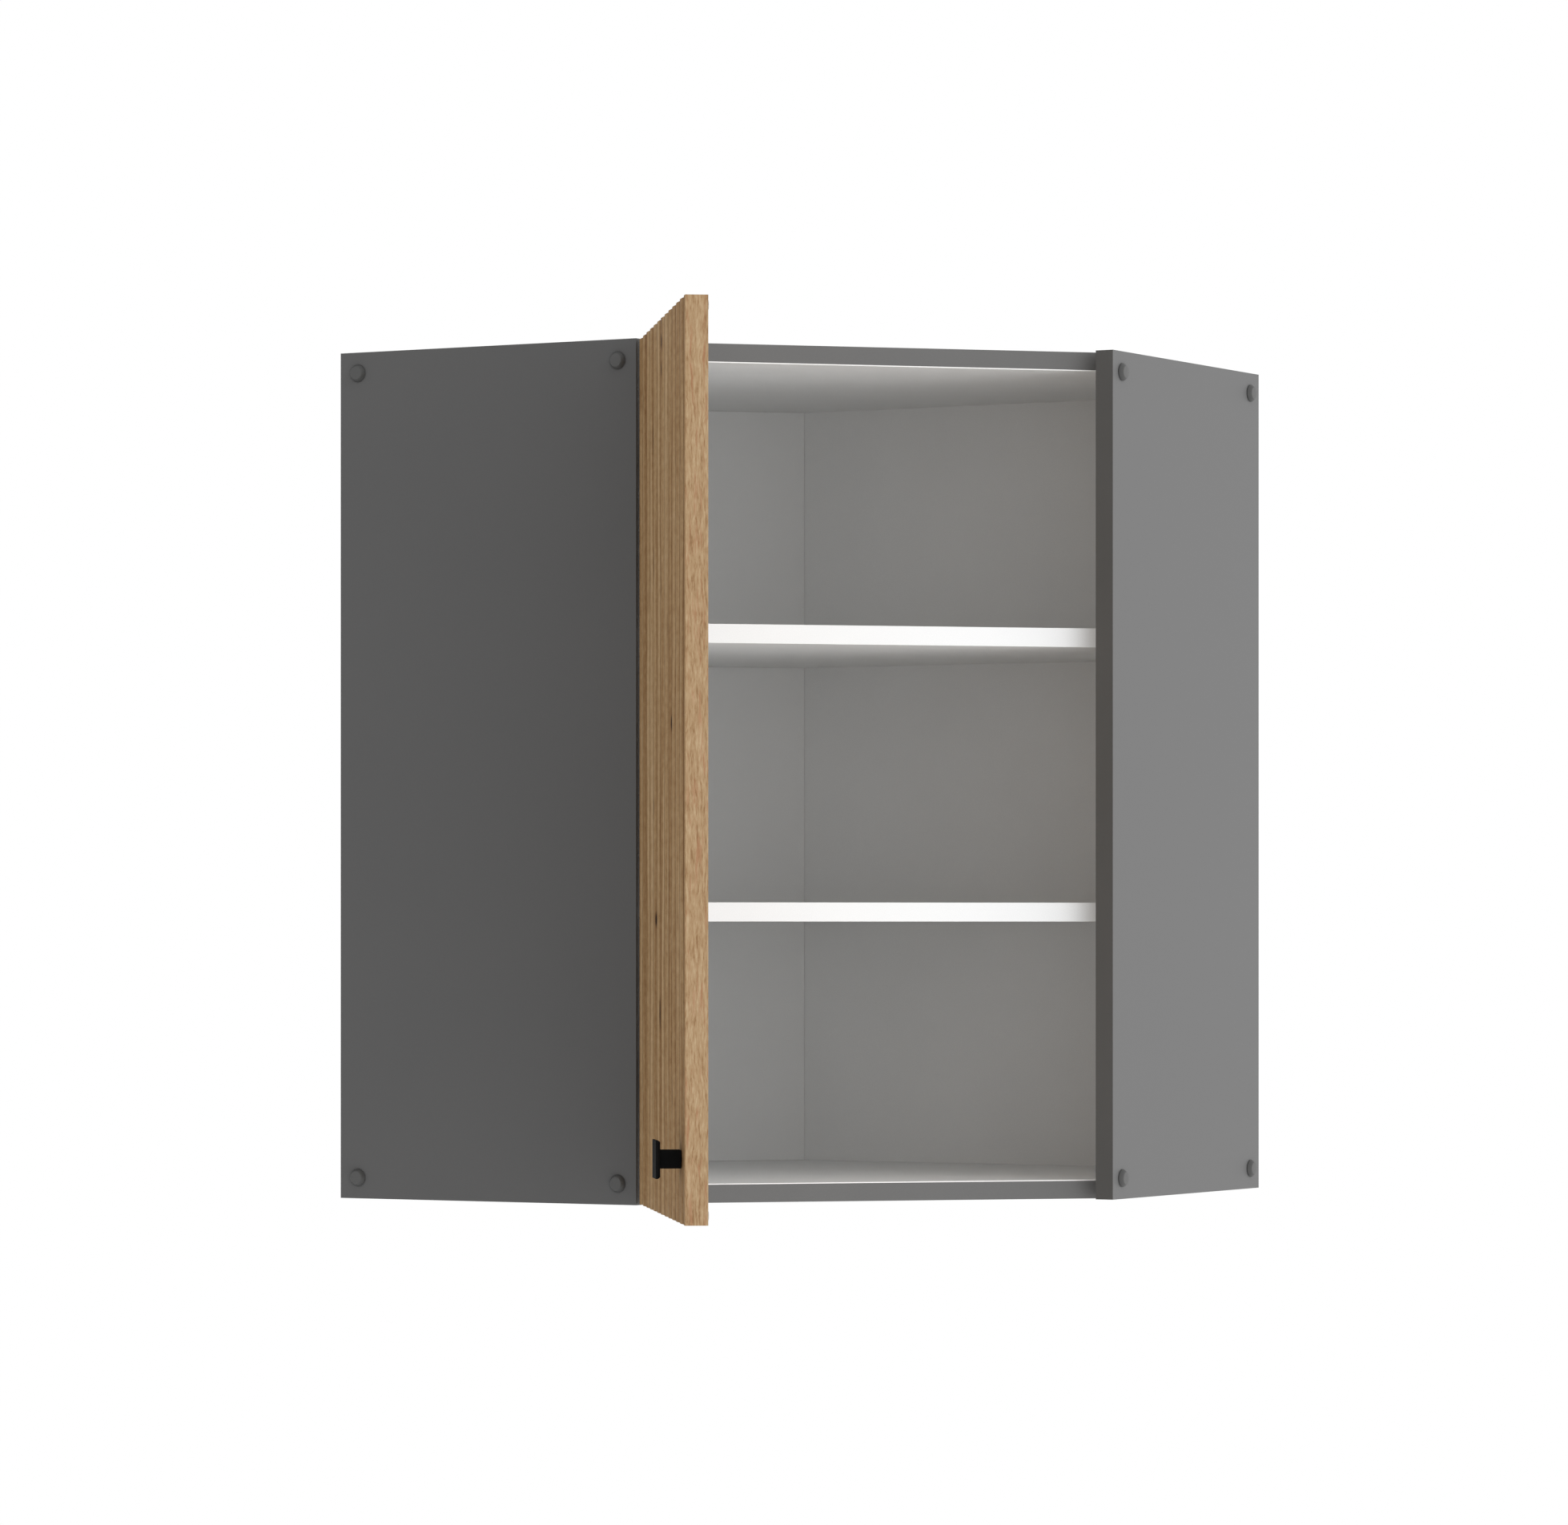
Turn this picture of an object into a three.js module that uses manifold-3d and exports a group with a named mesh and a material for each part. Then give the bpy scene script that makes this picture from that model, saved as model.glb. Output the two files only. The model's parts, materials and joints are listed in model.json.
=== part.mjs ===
// Corner wall cabinet with a diagonal fluted door, modelled in millimetres with +Z up.
// The origin is the foot of the cut rear corner, in the middle of the rear board's outer face. The two
// walls meet behind it, at 45 degrees to Y, and the diagonal front faces -Y.
import * as THREE from 'three';
import { mergeVertices } from 'three/addons/utils/BufferGeometryUtils.js';
import Module from 'manifold-3d';

const wasm = await Module();
wasm.setup();

// Carcass
const wallLength = 583;          // along each wall
const sideDepth = 290;           // out from each wall
const cabinetHeight = 715;
const boardThickness = 16;
const sheetThickness = 3;
const sheetRabbet = 8;           // how far a back sheet reaches into the end of its side
const sheetEndTrim = 1;          // sheet shorter than the carcass at top and bottom
const rearBoardInnerFace = 93;   // from the room corner to the face behind the shelves
const fitGap = 0.3;              // clearance between two pieces that meet
const overshoot = 1;             // cutters reach this far past the faces they open

// Shelves
const lowerShelfHeight = 234;
const upperShelfHeight = 466;
const shelfSetback = 5;          // behind the front edges of the top and bottom
const shelfSideGap = 0.8;
const pinPlugRadius = 2.5;
const pinSupportRadius = 3.5;
const pinPlugLength = 8;
const pinSupportLength = 9;
const pinFrontInset = 60;        // from the front end of a side
const pinRearInset = 45;         // from the wall

// Cam fittings and cover caps
const camRadius = 7.5;
const camHeight = 12;
const camEdgeDistance = 24;      // from the side's inner face
const camWallDistance = 50;
const camFrontDistance = 60;
const camSlotWidth = 2;
const camSlotDepth = 2.5;
const camSlotLength = 9;
const capRadius = 7.5;
const capTopRadius = 5.2;
const capHeight = 3.8;
const capRimHeight = 0.8;
const capPegRadius = 2.2;
const capPegLength = 8;
const capInset = 17.6;           // from the edges of the side to the cap's middle

// Door
const doorWidth = 389.7;
const doorEndGap = 1;            // door's ends to the cabinet's top and bottom
const doorThickness = 18;
const doorSideGap = 1;           // hinge side, closed
const doorProud = 1;             // closed front face before the line of the two inner corners
const doorSeatGap = 1.6;         // closed back face to the front edges of top and bottom
const ribPitch = 31.65;
const ribGrooves = 12;           // middled on the door, so the ribs at its edges are narrower
const ribDepth = 1.55;
const ribSegments = 8;
const doorOpenAngle = THREE.MathUtils.degToRad(99.5);
const bumperRadius = 4;
const bumperHeight = 1;
const bumperRimHeight = 0.5;
const bumperCrownRadius = 2.8;
const bumperInset = 10;

// Knob
const knobEdgeDistance = 34;     // from the door's free edge
const knobEndDistance = 50;      // from the door's lower end
const knobPlateSize = 29.7;
const knobPlateThickness = 3.5;
const knobPlateTaper = 1.3;      // the plate's back is this much smaller all round
const knobStemSize = 14.4;
const knobProjection = 20.3;
const knobScrewRadius = 2;
const knobScrewHeadRadius = 4;
const knobScrewCrownRadius = 3;
const knobScrewHeadHeight = 2.4;
const knobScrewReach = 8.5;      // into the knob
const knobBoreDepth = 9.3;

// Hinges: rise is measured from the side's inner face, setback from its front end
const hingeEndDistance = 100;    // from the cabinet's top and bottom
const hingeAxisDepth = 6.07;     // the door's axis lies inside the side's front end
const hingeAxisSetback = 4.07;
const armPivotRise = 20.5;
const armPivotSetback = 12;
const cupPivotInset = 12;        // from the door's hinge edge
const cupPivotDepth = 6.5;       // below the door's back face
const cupRadius = 17.3;
const cupDepth = 11.5;
const cupWall = 1;
const cupEdgeDistance = 4;       // door edge to the bore
const cupBoreGap = 0.3;
const flangeThickness = 1.2;
const flangeRimRadius = 19.5;
const flangeLength = 60;
const flangeWidth = 15;
const hingePinRadius = 1.5;
const hingePinGap = 0.3;
const linkWidth = 3.2;
const linkHeight = 8;
const linkEyeRadius = 3.4;
const innerLinkBulge = 8.3;      // the curved link passes round the door's edge
const innerLinkBow = [[0, 0], [0.235, 1], [0.55, 0.9], [1, 0]];   // share of the chord, share of the bulge
const cheekThickness = 2;
const cheekGap = 0.3;
const armChannelHeight = 6;
const armChannelFront = 24;
const armChannelBack = 62;
const armNeckWidth = 7;
const clevisRadius = 6.5;
const plateHeight = 7;
const plateFront = 28;
const plateBack = 66;
const plateWidth = 15;
const wingThickness = 2.2;
const wingSetback = 38;
const wingLength = 48;
const wingWidth = 12;
const plateScrewSpacing = 32;
const plateScrewRadius = 2;
const plateScrewHeadRadius = 3.8;
const plateScrewCrownRadius = 3;
const plateScrewHeadHeight = 1.8;
const plateScrewLength = 12;

// Hangers
const hangerHeight = 60;
const hangerThickness = 16;
const hangerDepth = 40;
const hangerTopDistance = 10;    // below the top panel
const hookWidth = 8;
const hookHeight = 14;
const hookLength = 26;
const hookLipDrop = 8;
const hookLipThickness = 2.4;
const hookGap = 0.4;
const hookTopDistance = 8;       // hook's top below the housing's top

const root2 = Math.SQRT2;
const innerWall = wallLength - boardThickness;
const topZ = cabinetHeight - boardThickness;
const sheetLine = sheetThickness + fitGap;
const frontEdgeSum = innerWall + sideDepth - (doorThickness - doorProud + doorSeatGap) * root2;
const rearInnerSum = rearBoardInnerFace * root2;
const rearOuterSum = rearInnerSum - boardThickness * root2;
const roomCornerY = rearBoardInnerFace - boardThickness;
const hingeHeights = { upper: cabinetHeight - hingeEndDistance, lower: hingeEndDistance };

const finishes = {
  greyBoard: { color: 0x8a8a89, roughness: 0.6, metalness: 0 },
  whiteBoard: { color: 0xf2f2f0, roughness: 0.5, metalness: 0 },
  hardboard: { color: 0xe9e8e5, roughness: 0.7, metalness: 0 },
  oak: { color: 0x9c7f5c, roughness: 0.55, metalness: 0 },
  blackMetal: { color: 0x151517, roughness: 0.45, metalness: 0.3 },
  nickel: { color: 0xb9bcc0, roughness: 0.3, metalness: 1 },
  greyPlastic: { color: 0x83837f, roughness: 0.5, metalness: 0 },
  whitePlastic: { color: 0xe8e8e4, roughness: 0.5, metalness: 0 },
  clearRubber: { color: 0xd8d8d4, roughness: 0.35, metalness: 0 },
};

function prism(points, bottom, top) {
  const shape = new THREE.Shape(points.map(([x, y]) => new THREE.Vector2(x, y)));
  const geometry = new THREE.ExtrudeGeometry(shape, { depth: top - bottom, bevelEnabled: false });
  return geometry.translate(0, 0, bottom);
}

function block([x0, x1], [y0, y1], [z0, z1]) {
  const geometry = new THREE.BoxGeometry(x1 - x0, y1 - y0, z1 - z0);
  return geometry.translate((x0 + x1) / 2, (y0 + y1) / 2, (z0 + z1) / 2);
}

// A turned piece whose axis starts at the origin: profile points are [radius, distance along the axis].
function turned(profile, segments, direction, start) {
  const points = profile.map(([radius, along]) => new THREE.Vector2(radius, along));
  const geometry = new THREE.LatheGeometry(points, segments);
  const up = new THREE.Vector3(0, 1, 0);
  const turn = new THREE.Quaternion().setFromUnitVectors(up, new THREE.Vector3(...direction));
  return geometry.applyQuaternion(turn).translate(...start);
}

function rod(radius, length, segments, direction, start) {
  return turned([[0, 0], [radius, 0], [radius, length], [0, length]], segments, direction, start);
}

function upright(radius, [x, y], [z0, z1], segments = 24) {
  return rod(radius, z1 - z0, segments, [0, 0, 1], [x, y, z0]);
}

function toSolid(geometry) {
  const bare = geometry.clone();
  bare.deleteAttribute('normal');
  bare.deleteAttribute('uv');
  const merged = mergeVertices(bare, 1e-4);
  const { position } = merged.attributes;
  return new wasm.Manifold(new wasm.Mesh({
    numProp: 3,
    vertProperties: new Float32Array(position.array),
    triVerts: new Uint32Array(merged.index.array),
  }));
}

function toGeometry(solid) {
  const { vertProperties, triVerts } = solid.getMesh();
  const geometry = new THREE.BufferGeometry();
  geometry.setAttribute('position', new THREE.BufferAttribute(vertProperties, 3));
  geometry.setIndex(new THREE.BufferAttribute(triVerts, 1));
  return geometry.toNonIndexed();
}

function joined(...geometries) {
  return toGeometry(geometries.map(toSolid).reduce((whole, piece) => whole.add(piece)));
}

function cut(geometry, ...cutters) {
  return toGeometry(cutters.map(toSolid).reduce((rest, cutter) => rest.subtract(cutter), toSolid(geometry)));
}

function node(name, geometry, finish) {
  geometry.computeVertexNormals();
  const mesh = new THREE.Mesh(geometry, new THREE.MeshStandardMaterial(finishes[finish]));
  mesh.name = name;
  return mesh;
}

// A straight bar between two plan points, rounded ends left to the eyes that are joined to it.
function bar([x0, y0], [x1, y1], width, bottom, top) {
  const length = Math.hypot(x1 - x0, y1 - y0);
  const sideX = (-(y1 - y0) / length) * (width / 2);
  const sideY = ((x1 - x0) / length) * (width / 2);
  return prism([
    [x0 - sideX, y0 - sideY],
    [x1 - sideX, y1 - sideY],
    [x1 + sideX, y1 + sideY],
    [x0 + sideX, y0 + sideY],
  ], bottom, top);
}

// Carcass pieces are drawn in the plan of the two walls: p runs along the left wall, q along the right.
// "left" pieces are drawn first, and a right piece is its mirror image, with p and q exchanged.
const sides = [
  { name: 'left', place: (p, q) => [p, q] },
  { name: 'right', place: (p, q) => [q, p] },
];

function placedBlock(side, [p0, p1], [q0, q1], zRange) {
  const [x0, y0] = side.place(p0, q0);
  const [x1, y1] = side.place(p1, q1);
  return block([x0, x1], [y0, y1], zRange);
}

const intoRoomSide = (side) => [...side.place(-1, 0), 0];   // from a side's inner face into the cabinet
const outOfSide = (side) => [...side.place(1, 0), 0];

const pinStations = [sideDepth - pinFrontInset, pinRearInset];
const pinAxisBelowShelf = fitGap + pinSupportRadius;
const shelfHeights = { lower: lowerShelfHeight, upper: upperShelfHeight };

function pinBores(side) {
  return Object.values(shelfHeights).flatMap((height) => pinStations.map((station) => rod(
    pinPlugRadius + fitGap,
    pinPlugLength + fitGap + overshoot,
    16,
    outOfSide(side),
    [...side.place(innerWall - overshoot, station), height - pinAxisBelowShelf],
  )));
}

const capHeights = [capInset, cabinetHeight - capInset];
const capStations = [capInset, sideDepth - capInset];

function capBores(side) {
  return capHeights.flatMap((height) => capStations.map((station) => rod(
    capPegRadius + fitGap,
    capPegLength + fitGap + overshoot,
    16,
    intoRoomSide(side),
    [...side.place(wallLength + overshoot, station), height],
  )));
}

function plateScrewPlaces() {
  return Object.entries(hingeHeights).flatMap(([level, height]) => [-1, 1].map((end) => ({
    level,
    end,
    height: height + (end * plateScrewSpacing) / 2,
  })));
}

function plateScrewBores() {
  return plateScrewPlaces().map(({ height }) => rod(
    plateScrewRadius + fitGap,
    plateScrewLength + fitGap,
    16,
    [1, 0, 0],
    [innerWall - overshoot, sideDepth - wingSetback, height],
  ));
}

function sidePanel(side) {
  const board = placedBlock(side, [innerWall, wallLength], [0, sideDepth], [0, cabinetHeight]);
  const rabbet = placedBlock(
    side,
    [innerWall - overshoot, innerWall + sheetRabbet + fitGap],
    [-overshoot, sheetLine],
    [-overshoot, cabinetHeight + overshoot],
  );
  const bores = [...pinBores(side), ...capBores(side)];
  if (side.name === 'left') {
    bores.push(...plateScrewBores());
  }
  return node(`side_${side.name}`, cut(board, rabbet, ...bores), 'greyBoard');
}

// The six-cornered plan shared by the top, the bottom and the shelves.
function carcassPlan(sideGap, frontSum, rearSum) {
  const edge = innerWall - sideGap;
  return [
    [rearSum - sheetLine, sheetLine],
    [edge, sheetLine],
    [edge, frontSum - edge],
    [frontSum - edge, edge],
    [sheetLine, edge],
    [sheetLine, rearSum - sheetLine],
  ];
}

const camStations = [camWallDistance, sideDepth - camFrontDistance];

function camPlaces() {
  const along = innerWall - camEdgeDistance;
  return sides.flatMap((side) => camStations.map((station) => side.place(along, station)));
}

function horizontalPanel(name, bottom, camMouth, camFloor) {
  const plan = carcassPlan(fitGap, frontEdgeSum, rearOuterSum - fitGap);
  const pockets = camPlaces().map((place) => upright(camRadius + fitGap, place, [
    Math.min(camMouth, camFloor),
    Math.max(camMouth, camFloor),
  ], 32));
  return node(name, cut(prism(plan, bottom, bottom + boardThickness), ...pockets), 'greyBoard');
}

function camFitting(name, [x, y], bottom, slotTop) {
  const body = upright(camRadius, [x, y], [bottom, bottom + camHeight], 32);
  const half = camSlotLength / 2;
  const zRange = slotTop ? [bottom + camHeight - camSlotDepth, bottom + camHeight + overshoot]
    : [bottom - overshoot, bottom + camSlotDepth];
  const wide = block([x - half, x + half], [y - camSlotWidth / 2, y + camSlotWidth / 2], zRange);
  const deep = block([x - camSlotWidth / 2, x + camSlotWidth / 2], [y - half, y + half], zRange);
  return node(name, cut(body, wide, deep), 'nickel');
}

function rearBoard() {
  const line = sheetLine;
  const board = prism([
    [rearOuterSum - line, line],
    [rearInnerSum - line, line],
    [line, rearInnerSum - line],
    [line, rearOuterSum - line],
  ], boardThickness, topZ);
  return node('rear_board', board, 'whiteBoard');
}

function hangerWindow(side) {
  const hookMiddle = innerWall - fitGap - hangerThickness / 2;
  const half = hookWidth / 2 + hookGap;
  const hookTop = topZ - hangerTopDistance - hookTopDistance;
  return placedBlock(
    side,
    [hookMiddle - half, hookMiddle + half],
    [-overshoot, sheetThickness + overshoot],
    [hookTop - hookHeight - hookLipDrop - hookGap, hookTop + hookGap],
  );
}

function backSheet(side) {
  const sheet = placedBlock(
    side,
    [rearOuterSum, innerWall + sheetRabbet],
    [0, sheetThickness],
    [sheetEndTrim, cabinetHeight - sheetEndTrim],
  );
  return node(`back_sheet_${side.name}`, cut(sheet, hangerWindow(side)), 'hardboard');
}

function shelf(level, height) {
  const frontSum = frontEdgeSum - shelfSetback * root2;
  const plan = carcassPlan(shelfSideGap, frontSum, rearInnerSum + shelfSideGap * root2);
  return node(`shelf_${level}`, prism(plan, height, height + boardThickness), 'whiteBoard');
}

function shelfPin(name, direction, start) {
  const profile = [
    [0, -pinPlugLength],
    [pinPlugRadius, -pinPlugLength],
    [pinPlugRadius, fitGap],
    [pinSupportRadius, fitGap],
    [pinSupportRadius, pinSupportLength],
    [0, pinSupportLength],
  ];
  return node(name, turned(profile, 16, direction, start), 'nickel');
}

function shelfPins(level, height) {
  const z = height - pinAxisBelowShelf;
  const places = sides.flatMap((side) => pinStations.map((station) => ({
    direction: intoRoomSide(side),
    start: [...side.place(innerWall, station), z],
  })));
  return places.map(({ direction, start }, index) => (
    shelfPin(`shelf_pin_${level}_${index + 1}`, direction, start)
  ));
}

function coverCaps(side) {
  const profile = [
    [0, -capPegLength],
    [capPegRadius, -capPegLength],
    [capPegRadius, fitGap],
    [capRadius, fitGap],
    [capRadius, fitGap + capRimHeight],
    [capTopRadius, fitGap + capHeight],
    [0, fitGap + capHeight],
  ];
  return capHeights.flatMap((height, row) => capStations.map((station, column) => node(
    `cover_cap_${side.name}_${2 * row + column + 1}`,
    turned(profile, 24, outOfSide(side), [...side.place(wallLength, station), height]),
    'greyPlastic',
  )));
}

// Hanger: a plastic housing on the side's inner face, with a steel hook that slides towards the wall.
function hangerFrame() {
  const outer = innerWall - fitGap;
  const top = topZ - hangerTopDistance;
  return { outer, inner: outer - hangerThickness, middle: outer - hangerThickness / 2, top };
}

function hangerHousing(side) {
  const { outer, inner, middle, top } = hangerFrame();
  const half = hookWidth / 2 + hookGap;
  const hookTop = top - hookTopDistance;
  const depth = [sheetLine, sheetLine + hangerDepth];
  const body = placedBlock(side, [inner, outer], depth, [top - hangerHeight, top]);
  const channel = placedBlock(
    side,
    [middle - half, middle + half],
    [sheetLine - overshoot, sheetLine + hangerDepth + overshoot],
    [hookTop - hookHeight - hookGap, hookTop + hookGap],
  );
  return node(`hanger_housing_${side.name}`, cut(body, channel), 'whitePlastic');
}

function hangerHook(side) {
  const { middle, top } = hangerFrame();
  const half = hookWidth / 2;
  const hookTop = top - hookTopDistance;
  const lipStart = hookGap;
  const shank = placedBlock(
    side,
    [middle - half, middle + half],
    [lipStart, lipStart + hookLength],
    [hookTop - hookHeight, hookTop],
  );
  const lip = placedBlock(
    side,
    [middle - half, middle + half],
    [lipStart, lipStart + hookLipThickness],
    [hookTop - hookHeight - hookLipDrop, hookTop - hookHeight + hookLipThickness],
  );
  return node(`hanger_hook_${side.name}`, joined(shank, lip), 'nickel');
}

// Hinge pieces on the side: rise counts from the inner face, setback from the front end.
const onSide = (rise, setback) => [innerWall - rise, sideDepth - setback];
const cheekTop = linkHeight / 2 + cheekGap + cheekThickness;
const clevisHalf = linkHeight / 2 + cheekGap;

function hingePlate(level, height) {
  const [baseX] = onSide(fitGap, 0);
  const ridge = block(
    [innerWall - plateHeight, baseX],
    [sideDepth - plateBack, sideDepth - plateFront],
    [height - plateWidth / 2, height + plateWidth / 2],
  );
  const wings = block(
    [innerWall - fitGap - wingThickness, baseX],
    [sideDepth - wingSetback - wingWidth / 2, sideDepth - wingSetback + wingWidth / 2],
    [height - wingLength / 2, height + wingLength / 2],
  );
  const bores = [-1, 1].map((end) => rod(
    plateScrewRadius + fitGap,
    plateHeight + 2 * overshoot,
    16,
    [1, 0, 0],
    [innerWall - plateHeight - overshoot, sideDepth - wingSetback, height + (end * plateScrewSpacing) / 2],
  ));
  return node(`hinge_plate_${level}`, cut(joined(ridge, wings), ...bores), 'nickel');
}

function plateScrew({ level, end, height }) {
  const seat = fitGap + wingThickness + fitGap;
  const profile = [
    [0, -plateScrewLength + seat],
    [plateScrewRadius, -plateScrewLength + seat],
    [plateScrewRadius, seat],
    [plateScrewHeadRadius, seat],
    [plateScrewCrownRadius, seat + plateScrewHeadHeight],
    [0, seat + plateScrewHeadHeight],
  ];
  const place = [innerWall, sideDepth - wingSetback, height];
  const number = end < 0 ? 1 : 2;
  return node(`hinge_screw_${level}_${number}`, turned(profile, 16, [-1, 0, 0], place), 'nickel');
}

function hingeArm(level, height) {
  const pivot = onSide(armPivotRise, armPivotSetback);
  const channelBottom = plateHeight + fitGap;
  const channelTop = channelBottom + armChannelHeight;
  const zRange = [height - cheekTop, height + cheekTop];
  const channel = block(
    [innerWall - channelTop, innerWall - channelBottom],
    [sideDepth - armChannelBack, sideDepth - armChannelFront],
    zRange,
  );
  const neckFoot = onSide((channelBottom + channelTop) / 2, armChannelFront + armNeckWidth / 2);
  const neck = bar(neckFoot, pivot, armNeckWidth, ...zRange);
  const eye = upright(armNeckWidth / 2, pivot, zRange);
  const clevis = upright(clevisRadius, pivot, [height - clevisHalf, height + clevisHalf]);
  const pin = upright(hingePinRadius, pivot, zRange);
  return node(`hinge_arm_${level}`, joined(cut(joined(channel, neck, eye), clevis), pin), 'nickel');
}

// The door turns about an axis inside the side's front end. In the links' plan u runs along the closed
// door from the side's inner corner, and w points into the cabinet.
const toMouth = ([rise, setback]) => [(rise - setback) / root2, (rise + setback) / root2];
const axis = toMouth([-hingeAxisDepth, hingeAxisSetback]);
const armPivot = toMouth([armPivotRise, armPivotSetback]);
const cupPivot = [
  doorSideGap + cupPivotInset,
  doorThickness - doorProud - cupPivotDepth,
];
const outerLinkVector = [cupPivot[0] - axis[0], cupPivot[1] - axis[1]];
const innerLinkVector = [armPivot[0] - axis[0], armPivot[1] - axis[1]];

function turnedOpen([x, y]) {
  const cosine = Math.cos(doorOpenAngle);
  const sine = Math.sin(doorOpenAngle);
  return [x * cosine + y * sine, -x * sine + y * cosine];
}

const outerLinkOpen = turnedOpen(outerLinkVector);
const kneePivot = [armPivot[0] + outerLinkOpen[0], armPivot[1] + outerLinkOpen[1]];
const cupPivotOpen = [axis[0] + outerLinkOpen[0], axis[1] + outerLinkOpen[1]];

function outerLink(level, height) {
  const zRange = [height - linkHeight / 2, height + linkHeight / 2];
  const eyes = [armPivot, kneePivot].map((pivot) => upright(linkEyeRadius, pivot, zRange));
  const link = joined(bar(armPivot, kneePivot, linkWidth, ...zRange), ...eyes);
  const tall = [height - linkHeight, height + linkHeight];
  const bore = upright(hingePinRadius + hingePinGap, armPivot, tall, 20);
  const pin = upright(hingePinRadius, kneePivot, [height - cheekTop, height + cheekTop], 20);
  return node(`hinge_outer_link_${level}`, joined(cut(link, bore), pin), 'nickel');
}

// The inner link is bowed away from its chord, so that it passes round the door's edge.
function innerLinkCentreLine() {
  const length = Math.hypot(...innerLinkVector);
  const [alongX, alongY] = [innerLinkVector[0] / length, innerLinkVector[1] / length];
  return innerLinkBow.map(([share, bulge]) => [
    cupPivotOpen[0] + alongX * share * length + alongY * bulge * innerLinkBulge,
    cupPivotOpen[1] + alongY * share * length - alongX * bulge * innerLinkBulge,
  ]);
}

function innerLink(level, height) {
  const zRange = [height - cheekTop, height + cheekTop];
  const points = innerLinkCentreLine();
  const bars = points.slice(1).map((point, index) => bar(points[index], point, linkWidth, ...zRange));
  const knuckles = points.slice(1, -1).map((point) => upright(linkWidth / 2, point, zRange, 20));
  const eyes = [cupPivotOpen, kneePivot].map((pivot) => upright(linkEyeRadius, pivot, zRange));
  const tall = [height - linkHeight, height + linkHeight];
  const clevis = upright(clevisRadius, kneePivot, [height - clevisHalf, height + clevisHalf]);
  const bores = [cupPivotOpen, kneePivot].map((pivot) => (
    upright(hingePinRadius + hingePinGap, pivot, tall, 20)
  ));
  const link = cut(joined(...bars, ...knuckles, ...eyes), clevis, ...bores);
  return node(`hinge_inner_link_${level}`, link, 'nickel');
}

// Door pieces: x runs from the hinge edge across the door, y from the crests of the ribs to the back.
function doorProfile() {
  const firstGroove = (doorWidth - (ribGrooves - 1) * ribPitch) / 2;
  const stepLength = ribPitch / ribSegments;
  const stepsToEdge = Math.ceil(firstGroove / stepLength);
  const lastStep = (ribGrooves - 1) * ribSegments + stepsToEdge;
  const points = [[doorWidth, doorThickness], [0, doorThickness]];
  for (let step = -stepsToEdge; step <= lastStep; step += 1) {
    const across = THREE.MathUtils.clamp(firstGroove + step * stepLength, 0, doorWidth);
    const share = THREE.MathUtils.euclideanModulo((across - firstGroove) / ribPitch, 1);
    const bow = 4 * share * (1 - share);
    points.push([across, ribDepth * (1 - bow)]);
  }
  return points;
}

const cupCentre = cupEdgeDistance + cupRadius + cupBoreGap;
const knobPlace = doorWidth - knobEdgeDistance;
const knobCentreHeight = doorEndGap + knobEndDistance;

function doorPanel() {
  const cupBores = Object.values(hingeHeights).map((height) => rod(
    cupRadius + cupBoreGap,
    cupDepth + cupBoreGap + overshoot,
    48,
    [0, -1, 0],
    [cupCentre, doorThickness + overshoot, height],
  ));
  const screwBore = rod(
    knobScrewRadius + fitGap,
    doorThickness + 2 * overshoot,
    20,
    [0, 1, 0],
    [knobPlace, -overshoot, knobCentreHeight],
  );
  const panel = prism(doorProfile(), doorEndGap, cabinetHeight - doorEndGap);
  return node('door_panel', cut(panel, ...cupBores, screwBore), 'oak');
}

function hingeCup(level, height) {
  const rimFace = doorThickness + fitGap;
  const flangeTop = rimFace + flangeThickness;
  const shell = rod(cupRadius, cupDepth + fitGap, 48, [0, -1, 0], [cupCentre, rimFace, height]);
  const rim = rod(flangeRimRadius, flangeThickness, 48, [0, 1, 0], [cupCentre, rimFace, height]);
  const wings = block(
    [cupCentre - flangeWidth / 2, cupCentre + flangeWidth / 2],
    [rimFace, flangeTop],
    [height - flangeLength / 2, height + flangeLength / 2],
  );
  const hollow = rod(
    cupRadius - cupWall,
    cupDepth - cupWall + flangeThickness + overshoot,
    48,
    [0, -1, 0],
    [cupCentre, flangeTop + overshoot, height],
  );
  const pinReach = cupCentre - cupPivotInset + hingePinRadius;
  const pinHalf = Math.sqrt((cupRadius - cupWall / 2) ** 2 - pinReach ** 2);
  const pinPlace = [cupPivotInset, doorThickness - cupPivotDepth];
  const pin = upright(hingePinRadius, pinPlace, [height - pinHalf, height + pinHalf]);
  return node(`hinge_cup_${level}`, joined(cut(joined(shell, rim, wings), hollow), pin), 'nickel');
}

function squareFrustum(frontSize, backSize, front, back) {
  const ring = (size, y) => [[-1, -1], [1, -1], [1, 1], [-1, 1]].map(([sx, sz]) => [
    (sx * size) / 2, y, (sz * size) / 2,
  ]);
  const corners = [...ring(frontSize, front), ...ring(backSize, back)];
  const quads = [[0, 1, 2, 3], [7, 6, 5, 4], [1, 0, 4, 5], [2, 1, 5, 6], [3, 2, 6, 7], [0, 3, 7, 4]];
  const triangles = quads.flatMap(([a, b, c, d]) => [a, b, c, a, c, d]);
  const geometry = new THREE.BufferGeometry();
  const flat = triangles.flatMap((index) => corners[index]);
  geometry.setAttribute('position', new THREE.Float32BufferAttribute(flat, 3));
  return geometry;
}

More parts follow.
